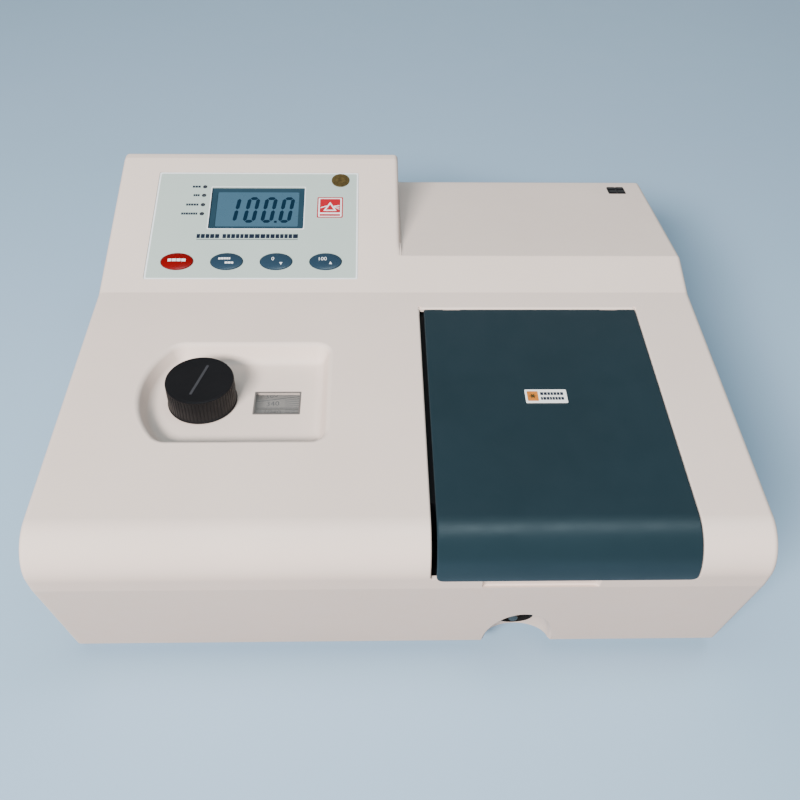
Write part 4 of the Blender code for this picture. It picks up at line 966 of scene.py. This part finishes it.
def key_mesh(x):
    """An oval key: a domed top, a rounded edge, and the flange that holds it under the film."""
    sides = 72
    rings = []
    for share in (0.08, 0.2, 0.32, 0.44, 0.56, 0.68, 0.78, 0.86, 0.92, 0.96):
        ring = ellipse((0, 0), [half * share for half in KEY_HALF], sides)
        rings.append([(a, b, dome_height(a, b)) for a, b in ring])
    edge = ((-0.25, -0.12), (-0.06, -0.35), (0.0, -0.7), (0.0, -1.9))
    flange = ((1.5, -1.95), (1.5, -2.8), (-7.0, -2.9))
    for grow, n in edge + flange:
        rings.append([(a, b, n) for a, b in ellipse((0, 0), [half + grow for half in KEY_HALF], sides)])
    rings.append([(a, b, -4.0) for a, b in ellipse((0, 0), (4.0, 0.8), sides)])
    return loft([[(x + a, KEY_S + b, n) for a, b, n in ring] for ring in rings])


def on_dome(shapes, x):
    """Flat outlines printed on a key's domed top."""
    bm = merged(*shapes)
    for corner in bm.verts:
        a, b = corner.co.x / MM - x, corner.co.y / MM - KEY_S
        corner.co.z += dome_height(a, b) * MM
    return in_console(bm)


def make_keys():
    """The four keys and their legends: plain blocks, or a number and an arrow."""
    ink = (-0.05, 0.05)
    words = {"mode": word_blocks((-6.4, 6.4), 0.2, 2.4, 4, 5)}
    words["print"] = word_blocks((-6.0, 2.6), 1.7, 1.8, 5, 6) + word_blocks((-1.0, 5.0), -2.2, 1.6, 3, 8)
    legends = {name: [prism(block, *ink) for block in blocks] for name, blocks in words.items()}
    up = [(b, a) for a, b in ellipse((0, 0), (1.5, 1.3), 3)]
    down = [(a, -b) for a, b in up][::-1]
    for name, text, arrow in (("zero", "0", down), ("full_scale", "100", up)):
        number = moved(lettering(text, 3.2), Matrix.Translation((-2.4, 1.3, 0)))
        legends[name] = [number, prism([(a + 3.6, b - 2.6) for a, b in arrow], *ink)]
    for name, x in KEY_X.items():
        slot = "red_key" if name == "mode" else "blue_key"
        body = f"{name}_key"
        stand_in(f"{name}_key_cap", in_console(key_mesh(x)), f"key_{name}", slot, body, 30)
        shapes = [moved(shape, Matrix.Translation((x, KEY_S, 0))) for shape in legends[name]]
        piece(f"{name}_key_print", on_dome(shapes, x), INK_WHITE, body)


def make_lights():
    """Four small lenses on one light pipe, and the round inspection sticker."""
    lens = [(1.5, -7), (1.5, -0.35), (1.35, -0.05), (1.0, 0.15), (0.5, 0.25), (0.1, 0.27)]
    parts = [cuboid(grown((LED_X, LED_X), 2.6), grown((LED_S[-1], LED_S[0]), 4), (-9.4, -6), 0.3)]
    parts += [turned(lens, (LED_X, s, 0), 24) for s in LED_S]
    stand_in("status_lights", in_console(merged(*parts)), "status_light_pipe", "light_pipe")

    at = (STICKER_X, STICKER_S)
    low = FILM_TOP + 0.3
    rim, face = low + 0.4, low + 0.3
    disc = [(0.4, low), (STICKER_R, low), (STICKER_R, low + 0.25), (STICKER_R - 0.3, rim)]
    disc += [(STICKER_R - 1.0, rim), (STICKER_R - 1.2, face), (0.4, face)]
    stand_in("round_sticker", in_console(turned(disc, (*at, 0), 72)), "inspection_label", "sticker")
    outer, inner = ellipse(at, (4.6, 4.6)), ellipse(at, (4.2, 4.2))[::-1]
    ring = plate_with_holes(outer, [inner], low + 0.2, low + 0.36)
    piece("sticker_ring", in_console(ring), LOOKS["brass"])


# ---- the back and the underside -----------------------------------------------------------------
def screw(at, direction, radius=2.6, height=1.6):
    """A pan head with a cross recess. direction is "down" or "back"."""
    head = [(0.1, -0.4), (radius, -0.4), (radius, 0), (radius, height * 0.45), (radius * 0.86, height * 0.8)]
    head += [(radius * 0.5, height), (0.1, height)]
    shape = plain("screw", turned(head, sides=32))
    for span in (((-0.35, 0.35), (-1.3, 1.3)), ((-1.3, 1.3), (-0.35, 0.35))):
        carve(shape, plain("cross", cuboid(*span, (height * 0.45, height + 1))))
    bm = bmesh.new()
    bm.from_mesh(shape.data)
    bpy.data.objects.remove(shape)
    turn = Matrix.Rotation(math.pi, 4, "X") if direction == "down" else Matrix.Rotation(-math.pi / 2, 4, "X")
    return moved(bm, Matrix.Translation(Vector(at)) @ turn)


def guard_ring(middle, radius, wire):
    """A ring of round wire that faces the back."""
    curve = []
    for i in range(72):
        turn = math.tau * i / 72
        spot = Vector((middle[0] + radius * math.cos(turn), middle[1], middle[2] + radius * math.sin(turn)))
        out = Vector((math.cos(turn), 0, math.sin(turn)))
        curve.append([spot + out * a + Vector((0, b, 0)) for a, b in ellipse((0, 0), (wire, wire), 8)])
    return hoop(curve)


def make_rear():
    """The rear panel: a plate with louvres and openings, the fan's guard and the screws."""
    x, y, z = extent("rear_panel")
    plate = plain("plate", prism(rounded(z, x, 2.5), *y, "y"))
    start, end = 180, 200  # a cutter's reach through the plate
    openings = []
    for node, at_sides, at_ends in (("power_inlet", 5.5, 2), ("switch_frame", 2.5, 3)):
        across, _, up = extent(node)
        openings.append(cuboid(grown(across, -at_sides), (start, end), grown(up, -at_ends)))
    fan_x, _, fan_z = [middle_of(reach) for reach in extent("fan_frame")]
    fuse_x, _, fuse_z = [middle_of(reach) for reach in extent("fuse_holder")]
    openings.append(cylinder((fuse_x, start, fuse_z), 6.5, end - start, "y"))
    openings.append(cylinder((fan_x, start, fan_z), 27, end - start, "y", 72))
    for left in range(-60, 20, 9):
        openings.append(prism(rounded((42, 92), (left, left + 3.2), 1.5), start, end, "y"))
    carve(plate, *[plain("opening", shape) for shape in openings])
    stand_in("rear_panel_plate", plate, "rear_panel", "zinc_plate", bevel=0.2)

    wire = 0.75
    middle = (fan_x, y[1] + 1.2, fan_z)
    guard = [guard_ring(middle, radius, wire) for radius in (7.0, 12.5, 18.0, 23.5, 28.5)]
    eye = ((1.6, -0.4), (3.4, -0.4), (3.4, 0.4), (1.6, 0.4))
    for turn in (45, 135, 225, 315):
        spin = Matrix.Rotation(math.radians(turn), 4, "Y")
        spoke = cylinder((0, 0, 6), wire, 30, "z", 10)
        guard.append(moved(spoke, Matrix.Translation((fan_x, y[1] + 2.2, fan_z)) @ spin))
        tip = Vector(middle) + spin.to_3x3() @ Vector((0, 0, 36))
        band = [(ellipse((0, 0), (radius, radius), 24), depth) for radius, depth in eye]
        band = hoop([[(a, depth, b) for a, b in ring] for ring, depth in band])
        guard.append(moved(band, Matrix.Translation(tip)))
    piece("fan_guard", merged(*guard), LOOKS["steel"])
    corners = [(a, b) for a in (-25.5, 25.5) for b in (-25.5, 25.5)]
    heads = [screw((fan_x + a, y[1] + 1.4, fan_z + b), "back", 2.2, 1.4) for a, b in corners]
    heads += [screw((a, y[1], b), "back") for a in (-171.5, 36, 171.5) for b in (36, 96)]
    piece("rear_screws", merged(*heads), LOOKS["steel"])


def make_inlet():
    """The mains inlet: a flange with its three blades in a shaped mouth, and two screws."""
    x, y, z = extent("power_inlet")
    lip = y[1] - 2.3
    shape = plain("inlet", prism(rounded(z, x, 3.0), lip, y[1], "y"))
    mid_x, mid_z = middle_of(x), middle_of(z)
    body = rounded((mid_z - 10.5, mid_z + 10.5), (mid_x - 14, mid_x + 14), 2)
    carve(shape, plain("inlet_body", prism(body, y[0], lip + 1, "y")), operation="UNION")
    mouth = [(-8, -11.8), (5, -11.8), (8, -8.8), (8, 8.8), (5, 11.8), (-8, 11.8)]
    hole = prism([(mid_z + a, mid_x + b) for a, b in mouth], lip - 14, 210, "y")
    carve(shape, plain("inlet_mouth", hole))
    stand_in("mains_inlet", shape, "power_inlet", "black_plastic", bevel=0.3)
    blades = []
    for a, b in ((-7, -2), (7, -2), (0, 2)):
        across, up = grown((mid_x + a, mid_x + a), 1), grown((mid_z + b, mid_z + b), 2)
        blades.append(cuboid(across, (lip - 14.5, lip - 4), up, 0.3))
    piece("inlet_blades", merged(*blades), LOOKS["brass"])
    ears = [screw((mid_x + a, y[1] - 0.2, mid_z), "back", 1.9, 1.2) for a in (-17, 17)]
    piece("inlet_screws", merged(*ears), LOOKS["steel"])


def make_rocker_marks():
    """The on and off marks of the mains switch, a line and a ring, on the rocker's two halves."""
    joint = next(joint for joint in frame["joints"] if joint["name"] == "power_switch")
    tilt = Matrix.Translation(Vector(joint["pos_m"]) / MM) @ Matrix.Rotation(math.radians(8), 4, "X")
    face = 4.05
    low, high = face - 0.3, face + 0.1
    line = cuboid((-0.45, 0.45), (low, high), (3.6, 7.6))
    inner, outer = [ellipse((0, -5.6), (radius, radius), 24) for radius in (1.3, 2.1)]
    section = ((inner, low), (inner, high), (outer, high), (outer, low))
    ring = hoop([[(x, y, z) for x, z in points] for points, y in section])
    piece("rocker_marks", moved(merged(line, ring), tilt), INK_WHITE, "rocker")


def make_underside():
    """The rubber feet, and the screws through them and round the base plate."""
    x, y, z = extent("base_plate")
    spots = [(a, b) for a in (x[0] + 9, 0, x[1] - 9) for b in (y[0] + 9, y[1] - 9)]
    spots += [(x[0] + 9, 20), (x[1] - 9, 20)]
    heads = [screw((a, b, z[0]), "down", 3.2, 1.8) for a, b in spots]
    piece("base_screws", merged(*heads), LOOKS["steel"])
    screws = []
    for name in ("front_left", "front_right", "rear_left", "rear_right"):
        foot_x, foot_y, (_, top) = extent(f"foot_{name}")
        at = (middle_of(foot_x), middle_of(foot_y), 0)
        profile = [(0.1, 3.4), (2.6, 3.4), (2.6, 1.0), (3.4, 0.25), (7.6, 0.0), (8.5, 0.25), (9.4, 1.3)]
        profile += [(11.6, top - 3.4), (12.0, top - 2.6), (12.0, top), (0.1, top)]
        stand_in(f"rubber_foot_{name}", turned(profile, at, 48), f"foot_{name}", "rubber")
        screws.append(turned([(0.1, 3.5), (2.3, 3.5), (2.3, 2.6), (1.6, 2.0), (0.1, 1.9)], at, 24))
    piece("foot_screws", merged(*screws), LOOKS["steel"])


def make_rod_grip():
    """The turned steel grip on the end of the pull rod."""
    x, (front, back), z = extent("pull_rod_grip")
    length = back - front
    profile = [(0.2, 0), (2.2, 0), (2.9, 0.3), (3.3, 1.0), (3.4, 1.8), (3.2, 2.8), (2.9, 3.7), (2.8, 4.8)]
    profile += [(2.9, 5.8), (3.2, 6.8), (3.4, 7.6), (3.3, 8.5), (3.2, length - 0.1), (2.9, length)]
    profile += [(2.6, length), (2.6, 1.6), (0.2, 1.6)]
    grip = turned(profile, (middle_of(x), front, middle_of(z)), 48, "y")
    piece("rod_grip", grip, DARK_STEEL, "cell_changer", ["pull_rod_grip"])


def make_rod_hole_shade():
    """A black sleeve round the pull rod in the finger notch, as painted shade: a dark piece where the hole into
    the case shows only shadow.
    """
    back = extent("pull_rod_grip")[1][1] + 1.5
    front = SCOOP[1]
    hole = ellipse((ROD_Z, ROD_X), (2.9, 2.9), 64)
    inner, outer = [ellipse(HOLE_AT, [half - less for half in HOLE_HALF], 64) for less in (1.1, 0.12)]
    section = [(inner, front), (outer, front), (outer, back + 2)]
    section += [(hole, back + 2), (hole, back), (inner, back)]
    shade_sleeve = plain("shade_sleeve", hoop([[(x, y, z) for z, x in ring] for ring, y in section]))
    carve(shade_sleeve, dish("shade_sleeve_front", [radius + 0.25 for radius in SCOOP_RADII]))
    # painted shade: the sleeve's black stands in for the shadow inside the case behind the rod's hole
    piece("rod_hole_painted_shade", shade_sleeve, LOOKS["seal_rubber"])


def dress_cad_nodes():
    """Gives every CAD node that still shows its material and softer edges."""
    slots = {row["node"]: row["material_slot"] for row in frame["record"]["subparts"]}
    plain_edges = ("sample_well", "fan_rotor")
    for name, node in frame["nodes"].items():
        if node.hide_render:
            continue
        node.data.materials.clear()
        node.data.materials.append(LOOKS[slots[name]])
        rounding = 0.0 if name in plain_edges else 0.25
        finish_surface(node, 35, rounding)


# ---- studio -------------------------------------------------------------------------------------
def make_camera():
    """The camera, at the place and angle worked out from the picture's vanishing points."""
    pitch, yaw, roll = 44.05, 2.10, 1.30
    data = bpy.data.cameras.new("camera")
    data.lens = 42.75
    data.sensor_width = 36.0
    camera = placed("camera", data)
    bpy.context.scene.camera = camera
    camera.matrix_world = (
        Matrix.Translation(Vector((-0.0150, -0.5085, 0.5610)))
        @ Matrix.Rotation(math.radians(-yaw), 4, "Z")
        @ Matrix.Rotation(math.radians(90 - pitch), 4, "X")
        @ Matrix.Rotation(math.radians(roll), 4, "Z")
    )


def make_studio():
    """A pale floor, an even sky and three soft lights."""
    world = bpy.data.worlds.new("studio")
    bpy.context.scene.world = world
    world.use_nodes = True
    sky = world.node_tree.nodes["Background"]
    set_inputs(sky, {"Color": (0.96, 0.98, 1.0, 1), "Strength": 0.13})
    bm = bmesh.new()
    bmesh.ops.create_grid(bm, x_segments=1, y_segments=1, size=4.0)
    floor = plain("floor", bm)
    floor.data.materials.append(surface("floor", linear(152, 180, 205), 0.7, vary=0.01, patch=3, bump=0.0))
    floor.visible_diffuse = False  # the picture's object gets no light back from what it stands on
    lights = (
        ("key_light", (-1.0, -2.05, 1.76), (1.1, 0.5), 208.0, (1.0, 0.965, 0.93)),
        ("top_light", (0.1, -0.30, 1.7), (1.4, 0.4), 15.0, (0.75, 0.94, 1.0)),
        ("back_light", (0.3, 2.1, 0.7), (1.8, 0.5), 5.0, (0.94, 0.98, 1.0)),
    )
    for name, spot, size, power, tint in lights:
        data = bpy.data.lights.new(name, "AREA")
        data.shape = "RECTANGLE"
        data.size, data.size_y = size
        data.energy = power
        data.color = tint
        lamp = placed(name, data)
        lamp.location = spot
        lamp.visible_glossy = name != "key_light"
        lamp.rotation_euler = (Vector((0, 0, 0.1)) - Vector(spot)).to_track_quat("-Z", "Y").to_euler()


make_camera()
make_studio()
make_cover()
make_plug()
make_lid()
make_lid_label()
make_knob()
make_dial()
make_film()
make_mark()
make_display()
make_keys()
make_lights()
make_rear()
make_inlet()
make_rocker_marks()
make_underside()
make_rod_grip()
make_rod_hole_shade()
dress_cad_nodes()
